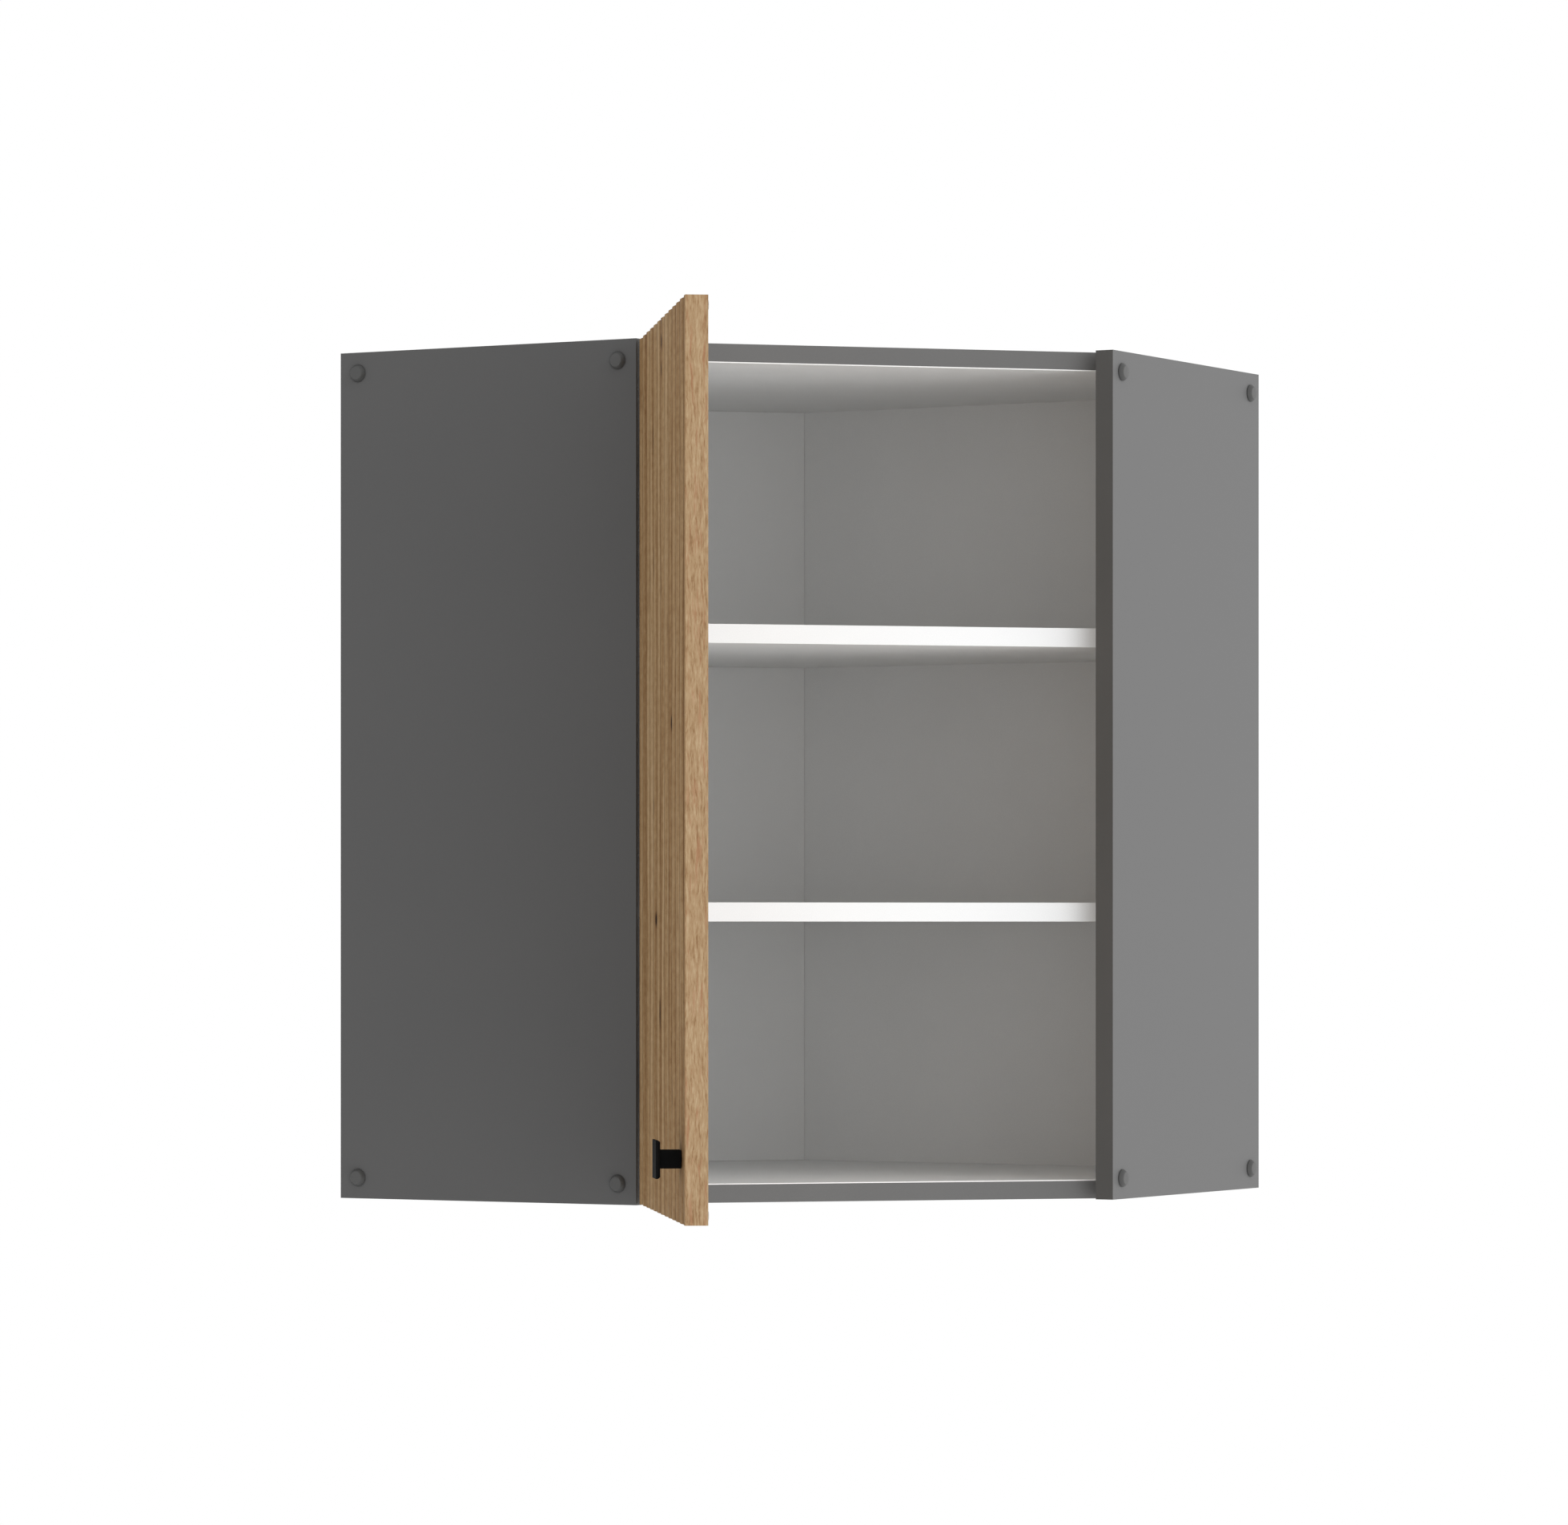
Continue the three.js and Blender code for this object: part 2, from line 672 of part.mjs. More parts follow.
function doorKnob() {
  const front = -fitGap - knobProjection;
  const halfPlate = knobPlateThickness / 2;
  const plate = block(
    [-knobPlateSize / 2, knobPlateSize / 2],
    [front, front + halfPlate],
    [-knobPlateSize / 2, knobPlateSize / 2],
  );
  const backSize = knobPlateSize - 2 * knobPlateTaper;
  const taper = squareFrustum(knobPlateSize, backSize, front + halfPlate, front + knobPlateThickness);
  const stem = block(
    [-knobStemSize / 2, knobStemSize / 2],
    [front + halfPlate, -fitGap],
    [-knobStemSize / 2, knobStemSize / 2],
  );
  const bore = rod(knobScrewRadius + fitGap, knobBoreDepth + overshoot, 20, [0, -1, 0], [0, overshoot, 0]);
  const knob = cut(joined(plate, taper, stem), bore);
  return node('door_knob', knob.translate(knobPlace, 0, knobCentreHeight), 'blackMetal');
}

function knobScrew() {
  const seat = doorThickness + fitGap;
  const profile = [
    [0, -fitGap - knobScrewReach],
    [knobScrewRadius, -fitGap - knobScrewReach],
    [knobScrewRadius, seat],
    [knobScrewHeadRadius, seat],
    [knobScrewCrownRadius, seat + knobScrewHeadHeight],
    [0, seat + knobScrewHeadHeight],
  ];
  return node('knob_screw', turned(profile, 24, [0, 1, 0], [knobPlace, 0, knobCentreHeight]), 'nickel');
}

function doorBumper(level, height) {
  const profile = [
    [0, 0],
    [bumperRadius, 0],
    [bumperRadius, bumperRimHeight],
    [bumperCrownRadius, bumperHeight],
    [0, bumperHeight],
  ];
  const start = [doorWidth - bumperInset, doorThickness + fitGap, height];
  return node(`door_bumper_${level}`, turned(profile, 24, [0, 1, 0], start), 'clearRubber');
}

function carcass() {
  const group = new THREE.Group();
  group.rotation.z = THREE.MathUtils.degToRad(-135);
  group.position.y = roomCornerY;
  for (const side of sides) {
    group.add(sidePanel(side), backSheet(side), ...coverCaps(side), hangerHousing(side), hangerHook(side));
  }
  group.add(horizontalPanel(
    'top_panel',
    topZ,
    cabinetHeight + overshoot,
    cabinetHeight - camHeight - 2 * fitGap,
  ));
  group.add(horizontalPanel('bottom_panel', 0, -overshoot, camHeight + 2 * fitGap));
  camPlaces().forEach((place, index) => {
    group.add(camFitting(`cam_top_${index + 1}`, place, cabinetHeight - camHeight - fitGap, true));
    group.add(camFitting(`cam_bottom_${index + 1}`, place, fitGap, false));
  });
  group.add(rearBoard());
  for (const [level, height] of Object.entries(shelfHeights)) {
    group.add(shelf(level, height), ...shelfPins(level, height));
  }
  for (const [level, height] of Object.entries(hingeHeights)) {
    group.add(hingePlate(level, height), hingeArm(level, height));
  }
  group.add(...plateScrewPlaces().map(plateScrew));
  return group;
}

// The left inner corner of the front, where the hinges' plan has its origin.
function mouthCorner() {
  return [(sideDepth - innerWall) / root2, roomCornerY - (innerWall + sideDepth) / root2, 0];
}

function hingeLinks() {
  const group = new THREE.Group();
  group.position.set(...mouthCorner());
  for (const [level, height] of Object.entries(hingeHeights)) {
    group.add(outerLink(level, height), innerLink(level, height));
  }
  return group;
}

function door() {
  const swing = new THREE.Group();
  const [cornerX, cornerY] = mouthCorner();
  swing.position.set(cornerX + axis[0], cornerY + axis[1], 0);
  swing.rotation.z = -doorOpenAngle;
  const leaf = new THREE.Group();
  leaf.position.set(doorSideGap - axis[0], -doorProud - axis[1], 0);
  leaf.add(doorPanel(), doorKnob(), knobScrew());
  for (const [level, height] of Object.entries(hingeHeights)) {
    leaf.add(hingeCup(level, height));
  }
  leaf.add(doorBumper('upper', cabinetHeight - boardThickness / 2));
  leaf.add(doorBumper('lower', boardThickness / 2));
  swing.add(leaf);
  return swing;
}

const cabinet = new THREE.Group();
cabinet.add(carcass(), hingeLinks(), door());

export default cabinet;
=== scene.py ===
import json
import math
import bmesh
import bpy
from mathutils import Matrix, Vector


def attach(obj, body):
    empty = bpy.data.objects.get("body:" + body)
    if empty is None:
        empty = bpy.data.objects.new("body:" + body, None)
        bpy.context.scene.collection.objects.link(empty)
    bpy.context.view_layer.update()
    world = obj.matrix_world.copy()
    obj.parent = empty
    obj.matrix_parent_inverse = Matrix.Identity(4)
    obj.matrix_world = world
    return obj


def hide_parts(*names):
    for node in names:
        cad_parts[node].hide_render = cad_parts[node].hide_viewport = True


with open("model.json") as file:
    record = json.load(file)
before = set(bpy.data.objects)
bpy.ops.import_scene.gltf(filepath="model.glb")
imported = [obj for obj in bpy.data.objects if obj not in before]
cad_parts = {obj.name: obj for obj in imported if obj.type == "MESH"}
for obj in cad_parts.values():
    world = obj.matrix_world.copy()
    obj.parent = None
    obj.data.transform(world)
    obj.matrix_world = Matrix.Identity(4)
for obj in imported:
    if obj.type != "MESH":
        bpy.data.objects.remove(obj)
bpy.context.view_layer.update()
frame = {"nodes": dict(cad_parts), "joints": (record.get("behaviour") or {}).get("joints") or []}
cabinetNodes = frame["nodes"]
mm = 0.001
print("frame loaded:", len(cabinetNodes), "nodes")

# The carcass plan is turned: p runs along the left wall, q along the right wall.
carcassTurn = Matrix.Rotation(math.radians(-135), 4, "Z")
alongP = carcassTurn.to_3x3() @ Vector((1, 0, 0))
alongQ = carcassTurn.to_3x3() @ Vector((0, 1, 0))
straightUp = Vector((0, 0, 1))

carcass = {
    "wallLength": 583 * mm,
    "innerWall": 567 * mm,
    "sideDepth": 290 * mm,
    "height": 715 * mm,
    "board": 16 * mm,
    "clearance": 0.3 * mm,
    "roomCorner": Vector((0, 77 * mm, 0)),   # where the two walls meet, behind the origin
}


def planPoint(p, q, z):
    return carcass["roomCorner"] + alongP * p + alongQ * q + straightUp * z


def inPlan(point, direction):
    return (point - carcass["roomCorner"]).dot(direction)


def addNode(tree, kind, values=None, **settings):
    node = tree.nodes.new(kind)
    for name, value in settings.items():
        setattr(node, name, value)
    for socket, value in (values or {}).items():
        target = node.inputs[socket]
        if isinstance(value, bpy.types.NodeSocket):
            tree.links.new(value, target)
        else:
            target.default_value = value
    return node


def mathNode(tree, operation, first, second=0.0, third=0.0):
    return addNode(tree, "ShaderNodeMath", {0: first, 1: second, 2: third}, operation=operation).outputs[0]


def newMaterial(name):
    material = bpy.data.materials.new(name)
    material.use_nodes = True
    tree = material.node_tree
    shader = tree.nodes["Principled BSDF"]
    return material, tree, shader


def objectPlace(tree, scale=(1, 1, 1), turn=(0, 0, 0), shift=(0, 0, 0)):
    coords = addNode(tree, "ShaderNodeTexCoord")
    mapping = addNode(tree, "ShaderNodeMapping", {
        "Vector": coords.outputs["Object"],
        "Location": shift,
        "Rotation": turn,
    })
    stretched = addNode(tree, "ShaderNodeVectorMath", {
        0: mapping.outputs[0],
        1: scale,
    }, operation="MULTIPLY")
    return stretched.outputs[0]


def noiseOn(tree, place, scale, detail=3.0, roughness=0.55, distortion=0.0):
    return addNode(tree, "ShaderNodeTexNoise", {
        "Vector": place,
        "Scale": scale,
        "Detail": detail,
        "Roughness": roughness,
        "Distortion": distortion,
    }).outputs["Fac"]


def rampOn(tree, amount, stops):
    node = addNode(tree, "ShaderNodeValToRGB", {"Fac": amount})
    elements = node.color_ramp.elements
    while len(elements) < len(stops):
        elements.new(0.5)
    for element, (position, colour) in zip(elements, stops):
        element.position = position
        element.color = (*colour, 1)
    return node.outputs["Color"]


def mixColour(tree, amount, first, second, blend="MIX"):
    node = tree.nodes.new("ShaderNodeMix")
    node.data_type = "RGBA"
    node.blend_type = blend
    for socket, value in ((node.inputs[0], amount), (node.inputs[6], first), (node.inputs[7], second)):
        if isinstance(value, bpy.types.NodeSocket):
            tree.links.new(value, socket)
        elif socket == node.inputs[0]:
            socket.default_value = value
        else:
            socket.default_value = (*value, 1)
    return node.outputs[2]


def rangeOn(tree, value, fromLow, fromHigh, toLow, toHigh):
    return addNode(tree, "ShaderNodeMapRange", {
        0: value, 1: fromLow, 2: fromHigh, 3: toLow, 4: toHigh,
    }).outputs[0]


def bumpOn(tree, height, strength, distance):
    return addNode(tree, "ShaderNodeBump", {
        "Height": height, "Strength": strength, "Distance": distance,
    }).outputs[0]


def twoTone(tree, cloud, look, start=0.3, end=0.7):
    return rampOn(tree, cloud, [(start, look["low"]), (end, look["high"])])


def coat(tree, shader, tone, rough, *bump):
    tree.links.new(tone, shader.inputs["Base Color"])
    tree.links.new(rough, shader.inputs["Roughness"])
    if bump:
        tree.links.new(bumpOn(tree, *bump), shader.inputs["Normal"])


# Noise scales are counts in one metre, here and in the finishes below.
laminateGrain = {
    "clouds": 7, "pores": 1500, "brushed": 420, "brushStretch": (1, 1, 0.06), "brushShare": 0.5,
    "relief": 0.4 * mm, "specular": 0.22,
}
laminateLooks = {
    "greyLaminate": {
        "low": (0.1205, 0.1208, 0.1210), "high": (0.1250, 0.1250, 0.1248), "pore": 0.12, "gloss": 0.46,
    },
    "greyEdgeBand": {
        "low": (0.129, 0.129, 0.129), "high": (0.137, 0.137, 0.136), "pore": 0.08, "gloss": 0.42,
    },
    "sideEndBand": {
        "low": (0.088, 0.088, 0.086), "high": (0.098, 0.097, 0.095), "pore": 0.08, "gloss": 0.46,
    },
    "innerLaminate": {
        "low": (0.820, 0.821, 0.815), "high": (0.842, 0.843, 0.837), "pore": 0.10, "gloss": 0.45,
    },
    # The white edge band's cool tint is painted: it cancels the warm light that the oak door casts onto the
    # shelf fronts.
    "whiteEdgeBand": {
        "low": (0.800, 0.815, 0.825), "high": (0.824, 0.839, 0.849), "pore": 0.06, "gloss": 0.40,
    },
    "backFacing": {
        "low": (0.735, 0.737, 0.733), "high": (0.762, 0.764, 0.760), "pore": 0.08, "gloss": 0.50,
    },
}


def laminate(name):
    look = laminateLooks[name]
    material, tree, shader = newMaterial(name)
    place = objectPlace(tree)
    cloud = noiseOn(tree, place, laminateGrain["clouds"], 4, 0.6)
    pore = noiseOn(tree, place, laminateGrain["pores"], 3, 0.7)
    brushPlace = objectPlace(tree, laminateGrain["brushStretch"])
    brush = noiseOn(tree, brushPlace, laminateGrain["brushed"], 2, 0.5)
    speck = rangeOn(tree, pore, 0.35, 0.65, 0.97, 1.03)
    tone = mixColour(tree, 1, twoTone(tree, cloud, look, 0.32, 0.68), speck, "MULTIPLY")
    rough = mathNode(tree, "ADD", rangeOn(tree, cloud, 0.3, 0.7, -0.03, 0.03), look["gloss"])
    relief = mathNode(tree, "ADD", pore, mathNode(tree, "MULTIPLY", brush, laminateGrain["brushShare"]))
    coat(tree, shader, tone, rough, relief, look["pore"], laminateGrain["relief"])
    shader.inputs["Specular IOR Level"].default_value = laminateGrain["specular"]
    return material


chipboardLook = {
    "flakes": 420, "flakeStretch": (1, 1, 2.2), "coarse": 160, "fine": 900, "relief": 0.8 * mm,
}


def chipboard():
    look = chipboardLook
    material, tree, shader = newMaterial("chipboardCore")
    place = objectPlace(tree)
    flakes = addNode(tree, "ShaderNodeTexVoronoi", {
        "Vector": objectPlace(tree, look["flakeStretch"]), "Scale": look["flakes"], "Randomness": 1.0,
    })
    coarse = noiseOn(tree, place, look["coarse"], 5, 0.65)
    fine = noiseOn(tree, place, look["fine"], 3, 0.6)
    coarseShare = mathNode(tree, "MULTIPLY", coarse, 0.6)
    shade = mathNode(tree, "ADD", coarseShare, mathNode(tree, "MULTIPLY", fine, 0.4))
    tone = rampOn(tree, shade, [
        (0.34, (0.20, 0.125, 0.065)), (0.47, (0.40, 0.275, 0.155)),
        (0.56, (0.52, 0.385, 0.235)), (0.68, (0.64, 0.50, 0.33)),
    ])
    flakeTone = rangeOn(tree, flakes.outputs["Distance"], 0.0, 0.7, 0.78, 1.12)
    tone = mixColour(tree, 1, tone, flakeTone, "MULTIPLY")
    coat(tree, shader, tone, rangeOn(tree, shade, 0.3, 0.7, 0.95, 0.8), shade, 0.6, look["relief"])
    return material


hardboardLook = {"fibres": 650, "clouds": 9, "relief": 0.5 * mm}


def rawHardboard():
    look = hardboardLook
    material, tree, shader = newMaterial("rawHardboard")
    place = objectPlace(tree)
    fibre = noiseOn(tree, place, look["fibres"], 5, 0.7, 0.6)
    cloud = noiseOn(tree, place, look["clouds"], 4, 0.6)
    tone = rampOn(tree, fibre, [
        (0.30, (0.150, 0.088, 0.046)), (0.52, (0.245, 0.150, 0.082)), (0.72, (0.330, 0.215, 0.125)),
    ])
    tone = mixColour(tree, 1, tone, rangeOn(tree, cloud, 0.3, 0.7, 0.86, 1.12), "MULTIPLY")
    coat(tree, shader, tone, rangeOn(tree, fibre, 0.3, 0.7, 0.72, 0.9), fibre, 0.5, look["relief"])
    return material


metalGrain = {"clouds": 60, "stretch": (1, 1, 0.15), "relief": 0.2 * mm}
metalLooks = {
    "nickelSteel": {
        "low": (0.50, 0.49, 0.47), "high": (0.62, 0.61, 0.58), "gloss": 0.26, "grain": 900, "relief": 0.10,
    },
    "zincSteel": {
        "low": (0.46, 0.47, 0.48), "high": (0.60, 0.61, 0.62), "gloss": 0.34, "grain": 600, "relief": 0.12,
    },
    "castZinc": {
        "low": (0.38, 0.38, 0.38), "high": (0.50, 0.50, 0.49), "gloss": 0.44, "grain": 1400, "relief": 0.25,
    },
}


def platedMetal(name):
    look = metalLooks[name]
    material, tree, shader = newMaterial(name)
    cloud = noiseOn(tree, objectPlace(tree), metalGrain["clouds"], 4, 0.6)
    grain = noiseOn(tree, objectPlace(tree, metalGrain["stretch"]), look["grain"], 3, 0.6)
    rough = mathNode(tree, "ADD", rangeOn(tree, grain, 0.3, 0.7, -0.05, 0.08), look["gloss"])
    coat(tree, shader, twoTone(tree, cloud, look), rough, grain, look["relief"], metalGrain["relief"])
    shader.inputs["Metallic"].default_value = 1
    return material


plasticGrain = {"clouds": 45, "sparks": 2600, "relief": 0.2 * mm}
plasticLooks = {
    "greyCapPlastic": {"low": (0.076, 0.077, 0.076), "high": (0.085, 0.085, 0.084), "gloss": 0.50},
    # Painted shade: the caps' rims and slopes get a darker grey that stands in for the shade round each cap.
    "capRimPaintedShade": {"low": (0.056, 0.057, 0.056), "high": (0.066, 0.066, 0.065), "gloss": 0.50},
    "whiteHangerPlastic": {"low": (0.74, 0.74, 0.72), "high": (0.80, 0.80, 0.78), "gloss": 0.40},
}


def mouldedPlastic(name):
    look = plasticLooks[name]
    material, tree, shader = newMaterial(name)
    place = objectPlace(tree)
    cloud = noiseOn(tree, place, plasticGrain["clouds"], 3, 0.5)
    spark = noiseOn(tree, place, plasticGrain["sparks"], 2, 0.6)
    rough = mathNode(tree, "ADD", rangeOn(tree, spark, 0.3, 0.7, -0.04, 0.05), look["gloss"])
    coat(tree, shader, twoTone(tree, cloud, look), rough, spark, 0.15, plasticGrain["relief"])
    return material


powderLook = {
    "low": (0.0048, 0.0048, 0.0049), "high": (0.0064, 0.0064, 0.0065),
    "peel": 1100, "clouds": 90, "relief": 0.3 * mm, "specular": 0.03,
}


def blackPowderCoat():
    look = powderLook
    material, tree, shader = newMaterial("blackPowderCoat")
    place = objectPlace(tree)
    peel = noiseOn(tree, place, look["peel"], 3, 0.6)
    cloud = noiseOn(tree, place, look["clouds"], 2, 0.5)
    rough = rangeOn(tree, peel, 0.3, 0.7, 0.55, 0.65)
    coat(tree, shader, twoTone(tree, cloud, look), rough, peel, 0.2, look["relief"])
    shader.inputs["Specular IOR Level"].default_value = look["specular"]
    return material


rubberLook = {
    "low": (0.66, 0.66, 0.63), "high": (0.74, 0.74, 0.71), "clouds": 300, "clearness": 0.5, "bending": 1.42,
}


def clearRubber():
    look = rubberLook
    material, tree, shader = newMaterial("clearRubber")
    cloud = noiseOn(tree, objectPlace(tree), look["clouds"], 2, 0.5)
    coat(tree, shader, twoTone(tree, cloud, look), rangeOn(tree, cloud, 0.3, 0.7, 0.2, 0.3))
    shader.inputs["Transmission Weight"].default_value = look["clearness"]
    shader.inputs["IOR"].default_value = look["bending"]
    return material


# The door's own directions: x across from the hinge edge, y from the rib crests to the back, z up.
doorLook = {
    "openAngle": 99.5,
    "width": 389.7 * mm,
    "thickness": 18 * mm,
    "endGap": 1 * mm,
    "grooves": 12,
    "ribPitch": 31.65 * mm,
    "ribDepth": 1.55 * mm,
    "stepsPerRib": 24,
    "closedCorner": (-194.869 * mm, -606.991 * mm),
    "cupDistance": 21.6 * mm,
    "cupHeights": (100 * mm, 615 * mm),
    "cupBoreRadius": 17.6 * mm,
    "cupBoreDepth": 11.8 * mm,
    "knobPlace": (355.7 * mm, 51 * mm),
    "knobBoreRadius": 2.3 * mm,
    "edgeRadius": 0.4 * mm,
    "edgeAngle": math.radians(60),
    "smoothAngle": math.radians(18),
}
doorLook["firstGroove"] = (doorLook["width"] - (doorLook["grooves"] - 1) * doorLook["ribPitch"]) / 2
doorTurn = Matrix.Rotation(-math.radians(doorLook["openAngle"]), 4, "Z")
doorJoint = next(joint for joint in frame["joints"] if joint["name"] == "door_swing")
doorAxis = Vector((doorJoint["pos_m"][0], doorJoint["pos_m"][1], 0))
closedCorner = carcass["roomCorner"] + Vector((*doorLook["closedCorner"], 0))
doorCorner = doorAxis + doorTurn @ (closedCorner - doorAxis)
doorMatrix = Matrix.Translation(doorCorner) @ doorTurn


def doorPlaceIn(tree, scale=(1, 1, 1)):
    inverse = doorMatrix.inverted()
    turn = (0, 0, math.radians(doorLook["openAngle"]))
    return objectPlace(tree, scale, turn, tuple(inverse.translation))


# oakFace and oakBack are the same oak veneer. The front's colours are lighter, painted light that makes up
# for the weak light on the door's front; the back's are darker, painted shade that holds down the strong
# light from the right.
oakLooks = {
    "oakFace": {
        "dark": (0.276, 0.138, 0.054), "mid": (0.425, 0.248, 0.111),
        "light": (0.560, 0.361, 0.184), "pale": (0.676, 0.470, 0.266),
        # The groove entry sets how dark the painted shade in the rib valleys is; 1.0 leaves it off.
        "gloss": 0.62, "specular": 0.05, "knots": 1.0, "groovePaintedShade": 0.45,
        "cracks": (0.09, 0.18), "hearts": (0.05, 0.10), "halos": (0.08, 0.21),
    },
    "oakBack": {
        "dark": (0.255, 0.146, 0.068), "mid": (0.345, 0.218, 0.112),
        "light": (0.410, 0.275, 0.152), "pale": (0.480, 0.340, 0.205),
        "gloss": 0.55, "specular": 0.15, "knots": 0.6, "groovePaintedShade": 1.0,
        "cracks": (0.04, 0.11), "hearts": (0.03, 0.07), "halos": (0.06, 0.16),
    },
    "oakEdge": {
        "dark": (0.255, 0.142, 0.062), "mid": (0.350, 0.222, 0.113),
        "light": (0.405, 0.274, 0.150), "pale": (0.465, 0.335, 0.198),
        "red": (0.330, 0.140, 0.066), "gloss": 0.50, "specular": 0.22,
    },
}
# How often a streak comes in one metre: across the grain, and along it.
oakGrain = {
    "planks": (14, 0.8), "bands": (110, 1.5), "fine": (420, 14), "flecks": (64, 150), "pores": (1300, 90),
    "clouds": (120, 14), "lines": (620, 60), "hairs": (620, 110), "blush": (300, 26),
    # The reach entry sets how far the painted shade in the rib valleys spreads from each valley.
    "depthShare": 0.35, "paintedShadeReach": 4.5 * mm, "crackTone": (0.040, 0.020, 0.010),
    "faceWaviness": (6, 6, 1.6), "faceBend": 10 * mm, "edgeWaviness": (40, 40, 22), "edgeBend": 2.2 * mm,
    "whereSeen": (20, 20, 3.5), "crackCells": (36, 6, 9), "knotCells": (17, 4, 12), "haloShare": 0.6,
    "faceRelief": 0.6 * mm, "edgeRelief": 0.4 * mm,
}


def grainOn(tree, place, size, detail, roughness, depthShare=1.0):
    across, along = size
    vector = addNode(tree, "ShaderNodeVectorMath", {
        0: place, 1: (across, across * depthShare, along),
    }, operation="MULTIPLY")
    return noiseOn(tree, vector.outputs[0], 1, detail, roughness)


def bentPlace(tree, waviness, reach):
    # Slow waviness bends every streak the same way.
    wobble = rangeOn(tree, noiseOn(tree, doorPlaceIn(tree, waviness), 1, 3, 0.5), 0.2, 0.8, -reach, reach)
    bend = addNode(tree, "ShaderNodeCombineXYZ", {0: wobble, 1: wobble})
    bent = addNode(tree, "ShaderNodeVectorMath", {0: doorPlaceIn(tree), 1: bend.outputs[0]}, operation="ADD")
    return bent.outputs[0]


def weighted(tree, *parts):
    total = 0.0
    for amount, weight in parts:
        total = mathNode(tree, "MULTIPLY_ADD", amount, weight, total)
    return total


def scatterOn(tree, cellSize, near, far):
    cells = addNode(tree, "ShaderNodeTexVoronoi", {
        "Vector": doorPlaceIn(tree, cellSize), "Scale": 1.0, "Randomness": 1.0,
    })
    return rangeOn(tree, cells.outputs["Distance"], near, far, 1.0, 0.0)


def oakFace(name):
    look = oakLooks[name]
    material, tree, shader = newMaterial(name)
    bent = bentPlace(tree, oakGrain["faceWaviness"], oakGrain["faceBend"])

    def streaks(kind, detail, roughness):
        return grainOn(tree, bent, oakGrain[kind], detail, roughness, oakGrain["depthShare"])

    fine = streaks("fine", 5, 0.65)
    shade = weighted(
        tree,
        (streaks("planks", 3, 0.55), 0.22),
        (streaks("bands", 4, 0.6), 0.44),
        (streaks("flecks", 3, 0.6), 0.15),
        (fine, 0.21),
    )
    tone = rampOn(tree, shade, [
        (0.41, look["dark"]), (0.48, look["mid"]), (0.54, look["light"]), (0.61, look["pale"]),
    ])
    pores = rangeOn(tree, streaks("pores", 2, 0.6), 0.56, 0.66, 0.0, 0.5)
    tone = mixColour(tree, pores, tone, look["dark"])
    # Only a few of the cracks show, where a slow noise lets them.
    slow = noiseOn(tree, doorPlaceIn(tree, oakGrain["whereSeen"]), 1, 2, 0.5)
    where = rangeOn(tree, slow, 0.44, 0.52, 0.0, look["knots"])
    crack = mathNode(tree, "MULTIPLY", scatterOn(tree, oakGrain["crackCells"], *look["cracks"]), where)
    halos = scatterOn(tree, oakGrain["knotCells"], *look["halos"])
    hearts = scatterOn(tree, oakGrain["knotCells"], *look["hearts"])
    halo = mathNode(tree, "MULTIPLY", halos, oakGrain["haloShare"] * look["knots"])
    heart = mathNode(tree, "MULTIPLY", hearts, look["knots"])
    tone = mixColour(tree, crack, tone, oakGrain["crackTone"])
    tone = mixColour(tree, halo, tone, look["dark"])
    tone = mixColour(tree, heart, tone, oakGrain["crackTone"])
    if look["groovePaintedShade"] < 1:
        # Painted shade: the colour is darkened in the valleys between the ribs, where shadow falls.
        across = addNode(tree, "ShaderNodeSeparateXYZ", {0: doorPlaceIn(tree)}).outputs[0]
        ribShare = mathNode(tree, "SUBTRACT", across, doorLook["firstGroove"])
        ribShare = mathNode(tree, "DIVIDE", ribShare, doorLook["ribPitch"])
        fromValley = mathNode(tree, "PINGPONG", ribShare, 0.5)
        reach = oakGrain["paintedShadeReach"] / doorLook["ribPitch"]
        paintedValleyShade = rangeOn(tree, fromValley, 0.0, reach, look["groovePaintedShade"], 1.0)
        tone = mixColour(tree, 1, tone, paintedValleyShade, "MULTIPLY")
    rough = rangeOn(tree, fine, 0.3, 0.7, look["gloss"] + 0.08, look["gloss"] - 0.06)
    relief = weighted(tree, (fine, 1.0), (crack, -1.5), (pores, -0.8))
    coat(tree, shader, tone, rough, relief, 0.30, oakGrain["faceRelief"])
    shader.inputs["Specular IOR Level"].default_value = look["specular"]
    return material


def oakEdge():
    look = oakLooks["oakEdge"]
    material, tree, shader = newMaterial("oakEdge")
    bent = bentPlace(tree, oakGrain["edgeWaviness"], oakGrain["edgeBend"])
    hairs = grainOn(tree, bent, oakGrain["hairs"], 4, 0.65)
    shade = weighted(
        tree,
        (grainOn(tree, bent, oakGrain["clouds"], 3, 0.55), 0.16),
        (grainOn(tree, bent, oakGrain["lines"], 3, 0.6), 0.34),
        (hairs, 0.50),
    )
    tone = rampOn(tree, shade, [
        (0.39, look["dark"]), (0.46, look["mid"]), (0.54, look["light"]), (0.61, look["pale"]),
    ])
    blush = rangeOn(tree, grainOn(tree, bent, oakGrain["blush"], 3, 0.6), 0.54, 0.68, 0.0, 0.55)
    tone = mixColour(tree, blush, tone, look["red"])
    rough = rangeOn(tree, hairs, 0.3, 0.7, look["gloss"] + 0.06, look["gloss"] - 0.05)
    coat(tree, shader, tone, rough, hairs, 0.2, oakGrain["edgeRelief"])
    shader.inputs["Specular IOR Level"].default_value = look["specular"]
    return material


